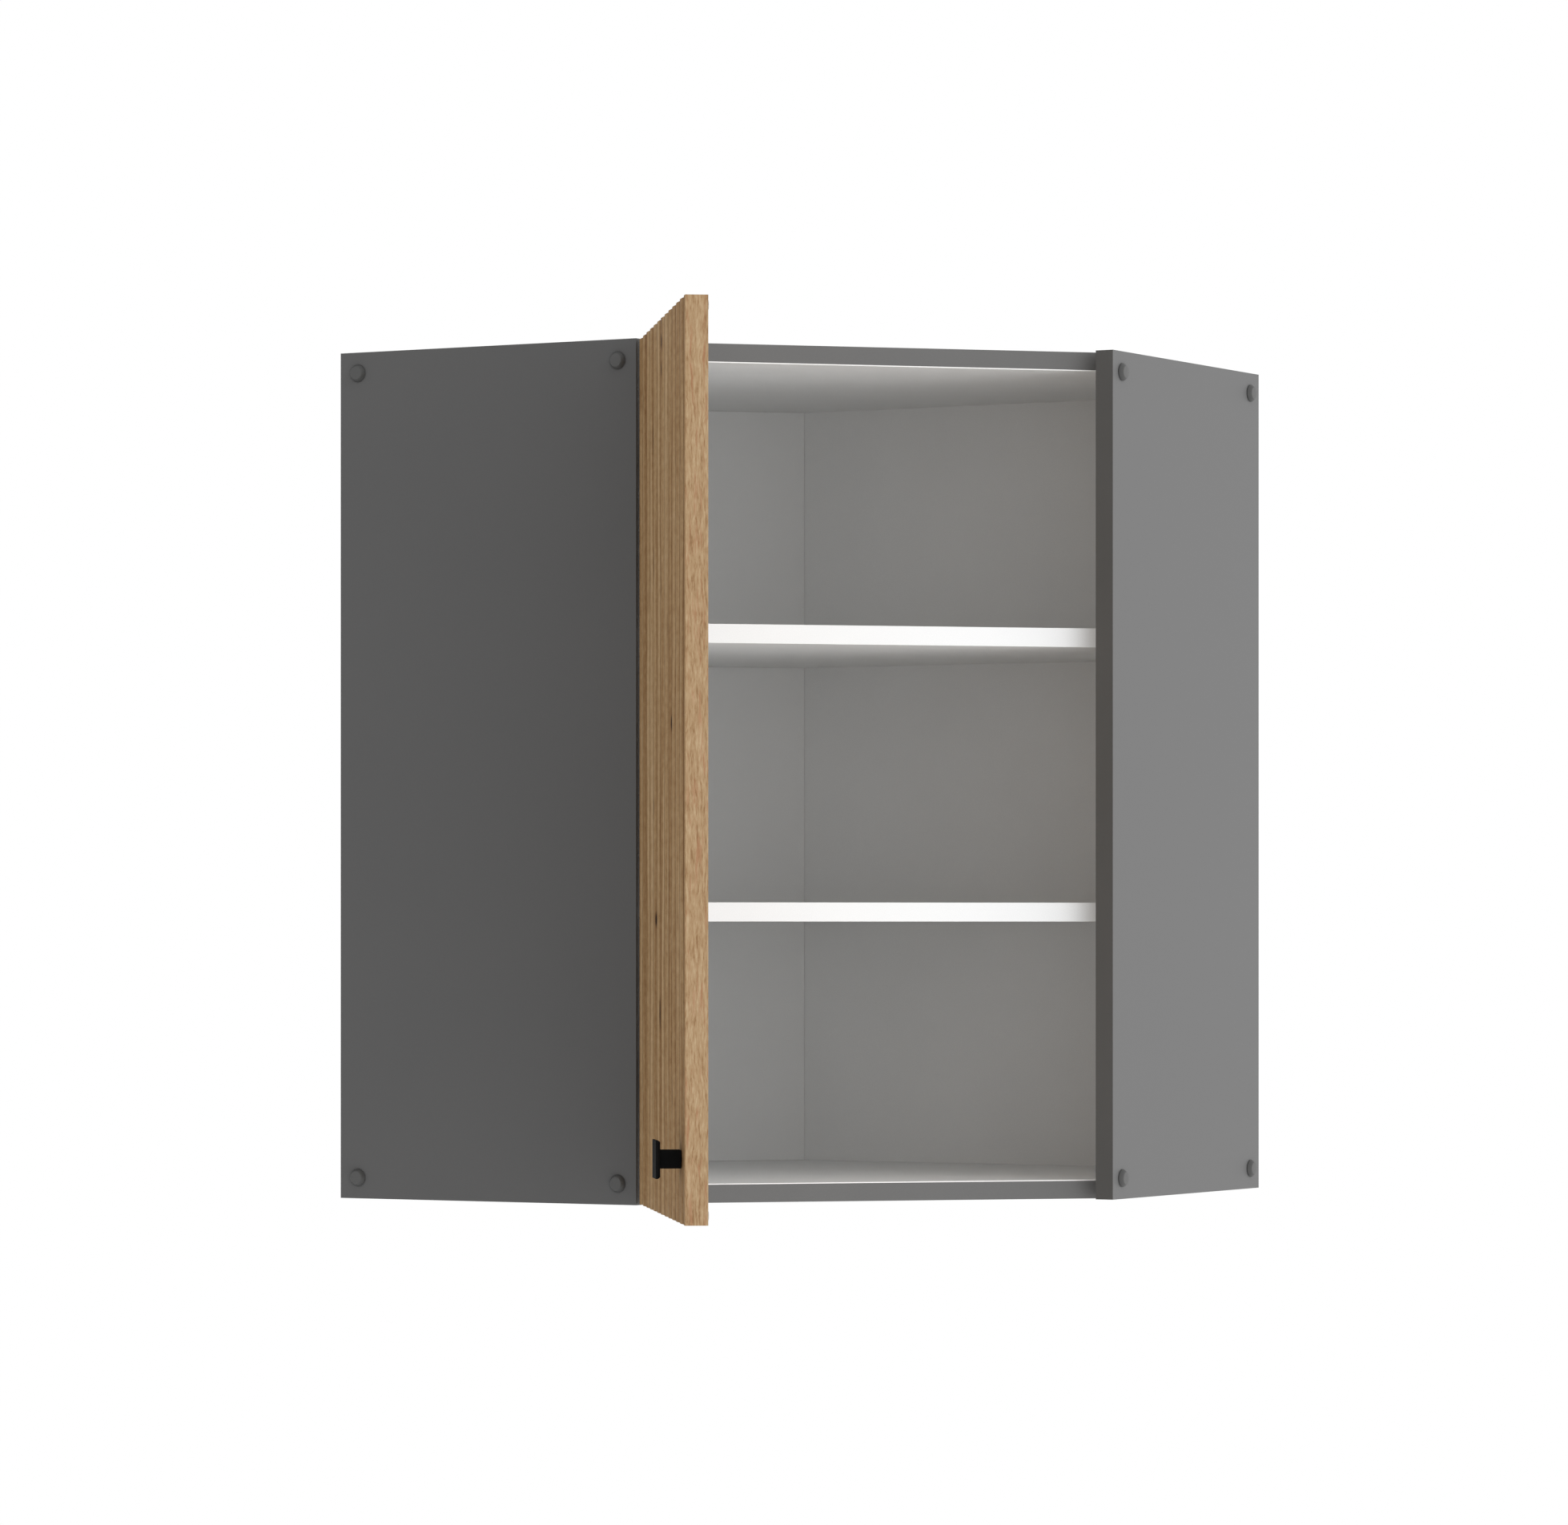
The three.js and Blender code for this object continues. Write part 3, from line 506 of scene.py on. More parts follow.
finishes = {name: laminate(name) for name in laminateLooks}
finishes.update({name: platedMetal(name) for name in metalLooks})
finishes.update({name: mouldedPlastic(name) for name in plasticLooks})
finishes["chipboardCore"] = chipboard()
finishes["rawHardboard"] = rawHardboard()
finishes["blackPowderCoat"] = blackPowderCoat()
finishes["clearRubber"] = clearRubber()
finishes["oakFace"] = oakFace("oakFace")
finishes["oakBack"] = oakFace("oakBack")
finishes["oakEdge"] = oakEdge()
print("finishes made:", len(finishes))


dressing = {
    "sameSpot": 0.001 * mm,
    "flatAngle": math.radians(0.4),
    "sharpAngle": math.radians(32),
    "flatArea": 25 * mm * mm,      # larger faces stay flat, so rounded edges don't bend their shade
}


def smoothByAngle(mesh, angle=dressing["sharpAngle"], flatArea=math.inf):
    mesh.set_sharp_from_angle(angle=angle)
    mesh.polygons.foreach_set("use_smooth", [face.area < flatArea for face in mesh.polygons])


def linkPiece(name, mesh):
    piece = bpy.data.objects.new(name, mesh)
    bpy.context.scene.collection.objects.link(piece)
    return piece


# A CAD solid, merged, with rounded edges and each face in its own finish.
def dressedCopy(name, nodeName, edgeRadius, finishNames, chooseFinish=None, segments=2):
    source = cabinetNodes[nodeName].data
    mesh = bpy.data.meshes.new(name)
    work = bmesh.new()
    work.from_mesh(source)
    bmesh.ops.remove_doubles(work, verts=work.verts, dist=dressing["sameSpot"])
    bmesh.ops.dissolve_limit(work, angle_limit=dressing["flatAngle"], verts=work.verts, edges=work.edges)
    for face in work.faces:
        face.material_index = finishNames.index(chooseFinish(face)) if chooseFinish else 0
    sharp = [e for e in work.edges if len(e.link_faces) == 2 and e.calc_face_angle() > dressing["sharpAngle"]]
    bmesh.ops.bevel(
        work, geom=sharp, offset=edgeRadius, offset_type="OFFSET", segments=segments,
        profile=0.6, affect="EDGES", clamp_overlap=True, material=-1,
    )
    work.to_mesh(mesh)
    work.free()
    for finishName in finishNames:
        mesh.materials.append(finishes[finishName])
    smoothByAngle(mesh, flatArea=dressing["flatArea"])
    return linkPiece(name, mesh)


def putOn(piece, body, slotName, *replaced):
    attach(piece, body)
    if replaced:
        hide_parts(*replaced)


boards = {
    "edgeRadius": 0.35 * mm,
    "thinEdgeRadius": 0.2 * mm,
    "innerSkin": 0.9 * mm,      # the white inner skin shows as a thin line at the front edges
}


def sideFinish(outward, endward):
    def choose(face):
        out = face.normal.dot(outward)
        end = face.normal.dot(endward)
        centre = face.calc_center_median()
        if out > 0.9 and inPlan(centre, outward) > carcass["wallLength"] - 0.1 * mm:
            return "greyLaminate"
        if out < -0.9 and abs(inPlan(centre, outward) - carcass["innerWall"]) < 0.1 * mm:
            return "innerLaminate"
        if end > 0.9 or abs(face.normal.z) > 0.9:
            return "sideEndBand"
        return "chipboardCore"
    return choose


def splitFront(piece, isFront, point, direction, finishIndex):
    # Cuts the front faces along a plane, and gives the part behind it the inner skin.
    work = bmesh.new()
    work.from_mesh(piece.data)
    front = [f for f in work.faces if isFront(f, 0.5)]
    parts = front + list({e for f in front for e in f.edges}) + list({v for f in front for v in f.verts})
    bmesh.ops.bisect_plane(work, geom=parts, plane_co=point, plane_no=direction, dist=dressing["sameSpot"])
    for face in work.faces:
        if isFront(face, 0.3) and (face.calc_center_median() - point).dot(direction) < 0:
            face.material_index = finishIndex
    work.to_mesh(piece.data)
    work.free()
    smoothByAngle(piece.data, flatArea=dressing["flatArea"])


def makeSides():
    names = ["greyLaminate", "innerLaminate", "sideEndBand", "chipboardCore"]
    for side, outward, endward in (("left", alongP, alongQ), ("right", alongQ, alongP)):
        piece = dressedCopy(
            f"sideBoard.{side}", f"side_{side}", boards["edgeRadius"], names, sideFinish(outward, endward),
        )
        putOn(piece, "cabinet", "grey_board", f"side_{side}")


def panelFinish(outside):
    outerLevel = carcass["height"] if outside > 0 else 0

    def choose(face):
        if face.normal.z * outside > 0.9 and abs(face.calc_center_median().z - outerLevel) < 0.2 * mm:
            return "greyLaminate"
        if face.normal.z * outside < -0.9 and face.calc_area() > 0.01:
            return "innerLaminate"
        if face.normal.y < -0.9:
            return "greyEdgeBand"
        return "chipboardCore"
    return choose


def makePanels():
    names = ["greyLaminate", "innerLaminate", "greyEdgeBand", "chipboardCore"]
    for level, outside in (("top", 1), ("bottom", -1)):
        piece = dressedCopy(
            f"levelBoard.{level}", f"{level}_panel", boards["edgeRadius"], names, panelFinish(outside),
        )
        inner = carcass["height"] - carcass["board"] if outside > 0 else carcass["board"]
        splitFront(
            piece, lambda face, least: -face.normal.y > least,
            straightUp * (inner + outside * boards["innerSkin"]), straightUp * outside,
            names.index("innerLaminate"),
        )
        putOn(piece, "cabinet", "grey_board", f"{level}_panel")


def shelfFinish(face):
    if face.normal.y < -0.9:
        return "whiteEdgeBand"
    if abs(face.normal.z) > 0.9:
        return "innerLaminate"
    return "chipboardCore"


def makeShelves():
    names = ["whiteEdgeBand", "innerLaminate", "chipboardCore"]
    for level in ("lower", "upper"):
        piece = dressedCopy(f"shelfBoard.{level}", f"shelf_{level}", boards["edgeRadius"], names, shelfFinish)
        putOn(piece, "cabinet", "white_board", f"shelf_{level}")


def rearFinish(face):
    return "backFacing" if abs(face.normal.y) > 0.9 and face.calc_area() > 0.002 else "chipboardCore"


def makeBacks():
    rearNames = ["backFacing", "chipboardCore"]
    rear = dressedCopy("rearBoard", "rear_board", boards["edgeRadius"], rearNames, rearFinish)
    putOn(rear, "cabinet", "white_board", "rear_board")
    for side, inward in (("left", alongQ), ("right", alongP)):
        def sheetFinish(face, inward=inward):
            return "backFacing" if face.normal.dot(inward) > 0.9 else "rawHardboard"
        sheet = dressedCopy(
            f"backSheet.{side}", f"back_sheet_{side}", boards["thinEdgeRadius"],
            ["backFacing", "rawHardboard"], sheetFinish,
        )
        putOn(sheet, "cabinet", "back_sheet", f"back_sheet_{side}")


makeSides()
makePanels()
makeShelves()
makeBacks()
print("boards dressed")


def newTree(name):
    tree = bpy.data.node_groups.new(name, "GeometryNodeTree")
    tree.interface.new_socket("Geometry", in_out="INPUT", socket_type="NodeSocketGeometry")
    tree.interface.new_socket("Geometry", in_out="OUTPUT", socket_type="NodeSocketGeometry")
    entry = tree.nodes.new("NodeGroupInput")
    leave = tree.nodes.new("NodeGroupOutput")
    return tree, entry, leave


def addInput(tree, name, kind, value=None):
    socket = tree.interface.new_socket(name, in_out="INPUT", socket_type=kind)
    if value is not None:
        socket.default_value = value
    return socket.identifier


def inputSocket(entry, name):
    return next(output for output in entry.outputs if output.name == name)


def growPiece(name, source, tree, inputs):
    # The tree runs as a modifier on a source mesh; the result becomes a plain mesh.
    host = linkPiece(name + ".host", source)
    modifier = host.modifiers.new("grow", "NODES")
    modifier.node_group = tree
    known = {item.name: item.identifier for item in tree.interface.items_tree if item.in_out == "INPUT"}
    for label, value in inputs.items():
        modifier[known[label]] = value
    host.update_tag()
    bpy.context.view_layer.update()
    depsgraph = bpy.context.evaluated_depsgraph_get()
    mesh = bpy.data.meshes.new_from_object(host.evaluated_get(depsgraph))
    host.modifiers.remove(modifier)
    bpy.data.objects.remove(host)
    mesh.name = name
    return linkPiece(name, mesh)


def placesMesh(name, places):
    # One vertex for each place, with the direction that its piece points in.
    mesh = bpy.data.meshes.new(name)
    mesh.from_pydata([tuple(point) for point, _ in places], [], [])
    aim = mesh.attributes.new("aim", "FLOAT_VECTOR", "POINT")
    aim.data.foreach_set("vector", [value for _, direction in places for value in direction])
    return mesh


def turnedTree(name, rings, segments, slotCount=0):
    # Rings are (label, radius, height) up the axis: a disc is extruded and scaled from ring to ring.
    tree, entry, leave = newTree(name)
    addInput(tree, "Segments", "NodeSocketInt", segments)
    for label, radius, height in rings:
        addInput(tree, f"{label} Radius", "NodeSocketFloat", radius)
        addInput(tree, f"{label} Height", "NodeSocketFloat", height)
    addInput(tree, "Slot Width", "NodeSocketFloat", 0.0009)
    addInput(tree, "Slot Length", "NodeSocketFloat", 0.004)
    addInput(tree, "Slot Depth", "NodeSocketFloat", 0.001)
    addInput(tree, "Finish", "NodeSocketMaterial")
    addInput(tree, "Side Finish", "NodeSocketMaterial")

    def given(label):
        return inputSocket(entry, label)

    first, last = rings[0][0], rings[-1][0]
    disc = addNode(tree, "GeometryNodeMeshCircle", {
        "Vertices": given("Segments"), "Radius": given(f"{first} Radius"),
    }, fill_type="NGON")
    lift = addNode(tree, "ShaderNodeCombineXYZ", {2: given(f"{first} Height")})
    placed = addNode(tree, "GeometryNodeTransform", {0: disc.outputs[0], "Translation": lift.outputs[0]})
    base = addNode(tree, "GeometryNodeFlipFaces", {0: placed.outputs[0]})
    geometry = placed.outputs[0]
    selection = None
    for (lower, _, _), (upper, _, _) in zip(rings, rings[1:]):
        rise = mathNode(tree, "SUBTRACT", given(f"{upper} Height"), given(f"{lower} Height"))
        offset = addNode(tree, "ShaderNodeCombineXYZ", {2: rise})
        values = {0: geometry, "Offset": offset.outputs[0]}
        if selection is not None:
            values["Selection"] = selection
        grown = addNode(tree, "GeometryNodeExtrudeMesh", values, mode="FACES")
        grown.inputs["Individual"].default_value = False
        share = mathNode(tree, "DIVIDE", given(f"{upper} Radius"), given(f"{lower} Radius"))
        scaled = addNode(tree, "GeometryNodeScaleElements", {
            0: grown.outputs["Mesh"], "Selection": grown.outputs["Top"], "Scale": share,
        })
        geometry = scaled.outputs[0]
        selection = grown.outputs["Top"]
    whole = addNode(tree, "GeometryNodeJoinGeometry")
    tree.links.new(geometry, whole.inputs[0])
    tree.links.new(base.outputs[0], whole.inputs[0])
    solid = addNode(tree, "GeometryNodeMergeByDistance", {0: whole.outputs[0], "Distance": 1e-6}).outputs[0]
    if slotCount:
        depth = given("Slot Depth")
        size = addNode(tree, "ShaderNodeCombineXYZ", {
            0: given("Slot Length"), 1: given("Slot Width"), 2: mathNode(tree, "MULTIPLY", depth, 2.0),
        })
        bar = addNode(tree, "GeometryNodeMeshCube", {"Size": size.outputs[0]})
        top = addNode(tree, "ShaderNodeCombineXYZ", {2: given(f"{last} Height")})
        cutters = []
        for index in range(slotCount):
            turned = addNode(tree, "GeometryNodeTransform", {
                0: bar.outputs[0],
                "Translation": top.outputs[0],
                "Rotation": (0, 0, index * math.pi / slotCount),
            })
            cutters.append(turned.outputs[0])
        carved = addNode(tree, "GeometryNodeMeshBoolean", operation="DIFFERENCE")
        tree.links.new(solid, carved.inputs[0])
        for cutter in cutters:
            tree.links.new(cutter, carved.inputs[1])
        solid = carved.outputs[0]
    # Faces that don't look up the axis are kept under a name until the finishes are set.
    normal = addNode(tree, "ShaderNodeSeparateXYZ", {0: addNode(tree, "GeometryNodeInputNormal").outputs[0]})
    marked = addNode(tree, "GeometryNodeStoreNamedAttribute", {
        "Geometry": solid, "Name": "side", "Value": mathNode(tree, "LESS_THAN", normal.outputs[2], 0.9),
    }, data_type="FLOAT", domain="FACE")
    isSide = addNode(tree, "GeometryNodeInputNamedAttribute", {"Name": "side"}, data_type="FLOAT").outputs[0]
    aim = addNode(tree, "GeometryNodeInputNamedAttribute", {"Name": "aim"}, data_type="FLOAT_VECTOR")
    turn = addNode(tree, "FunctionNodeAlignRotationToVector", {"Vector": aim.outputs[0]}, axis="Z")
    spread = addNode(tree, "GeometryNodeInstanceOnPoints", {
        "Points": entry.outputs[0], "Instance": marked.outputs[0], "Rotation": turn.outputs[0],
    })
    realized = addNode(tree, "GeometryNodeRealizeInstances", {"Geometry": spread.outputs[0]})
    painted = addNode(tree, "GeometryNodeSetMaterial", {
        "Geometry": realized.outputs[0], "Material": given("Finish"),
    })
    sided = addNode(tree, "GeometryNodeSetMaterial", {
        "Geometry": painted.outputs[0], "Selection": isSide, "Material": given("Side Finish"),
    })
    tree.links.new(sided.outputs[0], leave.inputs[0])
    return tree


def turnedPieces(name, tree, places, finishName, body, slotName, replaced=(), sideFinishName=None, **inputs):
    inputs["Finish"] = finishes[finishName]
    inputs["Side Finish"] = finishes[sideFinishName or finishName]
    piece = growPiece(name, placesMesh(name + ".places", places), tree, inputs)
    smoothByAngle(piece.data)
    putOn(piece, body, slotName, *replaced)
    return piece


# Raised caps cover the holes that link neighbouring cabinets.
coverCap = {
    "inset": 17.6 * mm,
    "segments": 48,
    "rings": [
        ("Peg", 2.2 * mm, -8 * mm), ("Neck", 2.2 * mm, 0.3 * mm), ("Foot", 7.25 * mm, 0.3 * mm),
        ("Rim", 7.5 * mm, 0.55 * mm), ("Shoulder", 7.4 * mm, 1.15 * mm), ("Slope", 5.6 * mm, 3.7 * mm),
        ("Lip", 5.2 * mm, 4.03 * mm), ("Crown", 4.8 * mm, 4.1 * mm),
    ],
}


def makeCoverCaps():
    heights = (coverCap["inset"], carcass["height"] - coverCap["inset"])
    stations = (coverCap["inset"], carcass["sideDepth"] - coverCap["inset"])
    places = []
    for z in heights:
        for station in stations:
            places.append((planPoint(carcass["wallLength"], station, z), alongP))
            places.append((planPoint(station, carcass["wallLength"], z), alongQ))
    tree = turnedTree("coverCapTree", coverCap["rings"], coverCap["segments"])
    nodes = [f"cover_cap_{side}_{number}" for side in ("left", "right") for number in (1, 2, 3, 4)]
    # The caps' sides take the darker rim grey, which is painted shade round each cap.
    turnedPieces("coverCaps", tree, places, "greyCapPlastic", "cabinet", "grey_cap", nodes, "capRimPaintedShade")


shelfPin = {
    "belowShelf": 3.8 * mm,
    "shelfHeights": (234 * mm, 466 * mm),
    "stations": (230 * mm, 45 * mm),
    "segments": 32,
    "rings": [
        ("Tip", 1.9 * mm, -8 * mm), ("Chamfer", 2.5 * mm, -7.3 * mm), ("Plug", 2.5 * mm, 0.3 * mm),
        ("Collar", 3.4 * mm, 0.3 * mm), ("Collar Edge", 3.5 * mm, 0.5 * mm),
        ("Collar Top", 3.5 * mm, 1.6 * mm), ("Groove", 3.1 * mm, 1.9 * mm),
        ("Groove End", 3.1 * mm, 2.3 * mm), ("Support", 3.5 * mm, 2.6 * mm),
        ("Support End", 3.5 * mm, 8.4 * mm), ("Nose", 2.9 * mm, 9 * mm),
    ],
}


def makeShelfPins():
    places = []
    for height in shelfPin["shelfHeights"]:
        z = height - shelfPin["belowShelf"]
        for station in shelfPin["stations"]:
            places.append((planPoint(carcass["innerWall"], station, z), -alongP))
            places.append((planPoint(station, carcass["innerWall"], z), -alongQ))
    tree = turnedTree("shelfPinTree", shelfPin["rings"], shelfPin["segments"])
    nodes = [f"shelf_pin_{level}_{number}" for level in ("lower", "upper") for number in range(1, 5)]
    turnedPieces("shelfPins", tree, places, "nickelSteel", "cabinet", "pin_steel", nodes)


# The cam fittings draw the top and the bottom to the sides.
camFitting = {
    "fromSide": 24 * mm,
    "stations": (50 * mm, 230 * mm),
    "height": 12 * mm,
    "segments": 48,
    "slotSize": {"Slot Width": 2 * mm, "Slot Length": 9 * mm, "Slot Depth": 2.5 * mm},
    "rings": [
        ("Foot", 7.1 * mm, 0.0), ("Foot Edge", 7.5 * mm, 0.4 * mm), ("Wall", 7.5 * mm, 11.6 * mm),
        ("Top Edge", 7.1 * mm, 12 * mm),
    ],
}


def makeCams():
    edge = carcass["innerWall"] - camFitting["fromSide"]
    drop = camFitting["height"] + carcass["clearance"]
    places = []
    for station in camFitting["stations"]:
        for p, q in ((edge, station), (station, edge)):
            places.append((planPoint(p, q, carcass["height"] - drop), straightUp))
            places.append((planPoint(p, q, drop), -straightUp))
    tree = turnedTree("camTree", camFitting["rings"], camFitting["segments"], slotCount=2)
    nodes = [f"cam_{level}_{number}" for level in ("top", "bottom") for number in (1, 2, 3, 4)]
    turnedPieces(
        "camFittings", tree, places, "castZinc", "cabinet", "cam_metal", nodes, **camFitting["slotSize"],
    )


makeCoverCaps()
makeShelfPins()
makeCams()
print("caps, shelf pins and cams placed")


# The door's section is one line of points, filled and extruded.
def doorTree():
    tree, entry, leave = newTree("flutedDoorTree")
    for label, kind, value in (
        ("Width", "NodeSocketFloat", doorLook["width"]),
        ("Thickness", "NodeSocketFloat", doorLook["thickness"]),
        ("Height", "NodeSocketFloat", carcass["height"] - 2 * doorLook["endGap"]),
        ("Grooves", "NodeSocketInt", doorLook["grooves"]),
        ("Rib Pitch", "NodeSocketFloat", doorLook["ribPitch"]),
        ("Steps per Rib", "NodeSocketInt", doorLook["stepsPerRib"]),
        ("Rib Depth", "NodeSocketFloat", doorLook["ribDepth"]),
        ("Cup Distance", "NodeSocketFloat", doorLook["cupDistance"]),
        ("Cup Radius", "NodeSocketFloat", doorLook["cupBoreRadius"]),
        ("Cup Depth", "NodeSocketFloat", doorLook["cupBoreDepth"]),
        ("Screw Radius", "NodeSocketFloat", doorLook["knobBoreRadius"]),
        ("Face Finish", "NodeSocketMaterial", None),
        ("Back Finish", "NodeSocketMaterial", None),
        ("Edge Finish", "NodeSocketMaterial", None),
    ):
        addInput(tree, label, kind, value)

    def given(label):
        return inputSocket(entry, label)

    # The grooves are middled on the width, and the end ribs are cut off by the door's edges.
    between = mathNode(tree, "SUBTRACT", given("Grooves"), 1.0)
    span = mathNode(tree, "MULTIPLY", between, given("Rib Pitch"))
    firstGroove = mathNode(tree, "MULTIPLY", mathNode(tree, "SUBTRACT", given("Width"), span), 0.5)
    stepLength = mathNode(tree, "DIVIDE", given("Rib Pitch"), given("Steps per Rib"))
    lead = mathNode(tree, "CEIL", mathNode(tree, "DIVIDE", firstGroove, stepLength))
    inner = mathNode(tree, "MULTIPLY", between, given("Steps per Rib"))
    steps = mathNode(tree, "MULTIPLY_ADD", lead, 2.0, inner)
    line = addNode(tree, "GeometryNodeMeshLine", {"Count": mathNode(tree, "ADD", steps, 3.0)})
    index = addNode(tree, "GeometryNodeInputIndex").outputs[0]
    fromGroove = mathNode(tree, "MULTIPLY", mathNode(tree, "SUBTRACT", index, lead), stepLength)
    frontX = mathNode(tree, "ADD", fromGroove, firstGroove)
    frontX = mathNode(tree, "MINIMUM", mathNode(tree, "MAXIMUM", frontX, 0.0), given("Width"))
    share = mathNode(tree, "DIVIDE", mathNode(tree, "SUBTRACT", frontX, firstGroove), given("Rib Pitch"))
    fromValley = mathNode(tree, "MULTIPLY", mathNode(tree, "PINGPONG", share, 0.5), 2.0)
    fromMiddle = mathNode(tree, "SUBTRACT", 1.0, fromValley)
    frontY = mathNode(tree, "MULTIPLY", given("Rib Depth"), mathNode(tree, "POWER", fromMiddle, 2.0))
    isBack = mathNode(tree, "GREATER_THAN", index, mathNode(tree, "ADD", steps, 0.5))
    isLast = mathNode(tree, "GREATER_THAN", index, mathNode(tree, "ADD", steps, 1.5))
    x = mathNode(tree, "MULTIPLY", frontX, mathNode(tree, "SUBTRACT", 1.0, isLast))
    backY = mathNode(tree, "MULTIPLY", given("Thickness"), isBack)
    y = mathNode(tree, "MULTIPLY_ADD", frontY, mathNode(tree, "SUBTRACT", 1.0, isBack), backY)
    spot = addNode(tree, "ShaderNodeCombineXYZ", {0: x, 1: y})
    outline = addNode(tree, "GeometryNodeSetPosition", {0: line.outputs[0], "Position": spot.outputs[0]})
    curve = addNode(tree, "GeometryNodeMeshToCurve", {0: outline.outputs[0]})
    closed = addNode(tree, "GeometryNodeSetSplineCyclic", {0: curve.outputs[0], "Cyclic": True})
    section = addNode(tree, "GeometryNodeFillCurve", {0: closed.outputs[0]}, mode="NGONS")
    rise = addNode(tree, "ShaderNodeCombineXYZ", {2: given("Height")})
    grown = addNode(tree, "GeometryNodeExtrudeMesh", {
        0: section.outputs[0], "Offset": rise.outputs[0],
    }, mode="FACES")
    grown.inputs["Individual"].default_value = False
    lowerEnd = addNode(tree, "GeometryNodeFlipFaces", {0: section.outputs[0]})
    whole = addNode(tree, "GeometryNodeJoinGeometry")
    tree.links.new(grown.outputs["Mesh"], whole.inputs[0])
    tree.links.new(lowerEnd.outputs[0], whole.inputs[0])
    slab = addNode(tree, "GeometryNodeMergeByDistance", {0: whole.outputs[0], "Distance": 1e-6})

    def bore(x, z, radius, depth):
        drill = addNode(tree, "GeometryNodeMeshCylinder", {
            "Vertices": 64, "Radius": radius, "Depth": mathNode(tree, "MULTIPLY", depth, 2.0),
        })
        place = addNode(tree, "ShaderNodeCombineXYZ", {0: x, 1: given("Thickness"), 2: z})
        return addNode(tree, "GeometryNodeTransform", {
            0: drill.outputs[0], "Translation": place.outputs[0], "Rotation": (math.pi / 2, 0, 0),
        }).outputs[0]

    drilled = addNode(tree, "GeometryNodeMeshBoolean", operation="DIFFERENCE")
    tree.links.new(slab.outputs[0], drilled.inputs[0])
    for height in doorLook["cupHeights"]:
        cupZ = height - doorLook["endGap"]
        cupBore = bore(given("Cup Distance"), cupZ, given("Cup Radius"), given("Cup Depth"))
        tree.links.new(cupBore, drilled.inputs[1])
    knobX, knobZ = doorLook["knobPlace"]
    through = mathNode(tree, "ADD", given("Thickness"), 1 * mm)
    knobBore = bore(knobX, knobZ - doorLook["endGap"], given("Screw Radius"), through)
    tree.links.new(knobBore, drilled.inputs[1])
    normal = addNode(tree, "ShaderNodeSeparateXYZ", {0: addNode(tree, "GeometryNodeInputNormal").outputs[0]})
    isEdge = mathNode(tree, "LESS_THAN", mathNode(tree, "ABSOLUTE", normal.outputs[1]), 0.5)
    isRear = mathNode(tree, "GREATER_THAN", normal.outputs[1], 0.5)
    faced = addNode(tree, "GeometryNodeSetMaterial", {
        0: drilled.outputs[0], "Material": given("Face Finish"),
    })
    backed = addNode(tree, "GeometryNodeSetMaterial", {
        0: faced.outputs[0], "Selection": isRear, "Material": given("Back Finish"),
    })
    edged = addNode(tree, "GeometryNodeSetMaterial", {
        0: backed.outputs[0], "Selection": isEdge, "Material": given("Edge Finish"),
    })
    tree.links.new(edged.outputs[0], leave.inputs[0])
    return tree


def makeDoor():
    seed = bpy.data.meshes.new("doorSeed")
    door = growPiece("flutedDoor", seed, doorTree(), {
        "Face Finish": finishes["oakFace"],
        "Back Finish": finishes["oakBack"],
        "Edge Finish": finishes["oakEdge"],
    })
    door.data.transform(doorMatrix @ Matrix.Translation((0, 0, doorLook["endGap"])))
    smoothByAngle(door.data, doorLook["smoothAngle"])
    rounding = door.modifiers.new("edges", "BEVEL")
    rounding.limit_method = "ANGLE"
    rounding.angle_limit = doorLook["edgeAngle"]
    rounding.width = doorLook["edgeRadius"]
    rounding.segments = 2
    rounding.harden_normals = True
    putOn(door, "door", "oak_front", "door_panel")


makeDoor()
print("door made")


screwLook = {
    "segments": 32,
    "slots": {"Slot Width": 0.8 * mm, "Slot Length": 3.8 * mm, "Slot Depth": 0.9 * mm},
}
knobLook = {
    "edgeRadius": 0.45 * mm,
    "screwSlots": {"Slot Width": 0.9 * mm, "Slot Length": 3.6 * mm, "Slot Depth": 1.2 * mm},
    "screwRings": [
        ("Tip", 1.5 * mm, -8.8 * mm), ("Thread", 2 * mm, -8 * mm), ("Neck", 2 * mm, 18.3 * mm),
        ("Seat", 3.9 * mm, 18.3 * mm), ("Head", 4 * mm, 18.6 * mm), ("Dome", 3.6 * mm, 20 * mm),
        ("Crown", 2.6 * mm, 20.7 * mm),
    ],
}
bumperLook = {
    "fromEdge": 10 * mm,
    "rings": [
        ("Foot", 4 * mm, 18.3 * mm), ("Rim", 4 * mm, 18.8 * mm), ("Shoulder", 3.5 * mm, 19.12 * mm),
        ("Crown", 2.6 * mm, 19.28 * mm),
    ],
}


def onDoor(x, y, z):
    # A place on the door, and the way through it to its back.
    return doorMatrix @ Vector((x, y, z)), doorTurn.to_3x3() @ Vector((0, 1, 0))


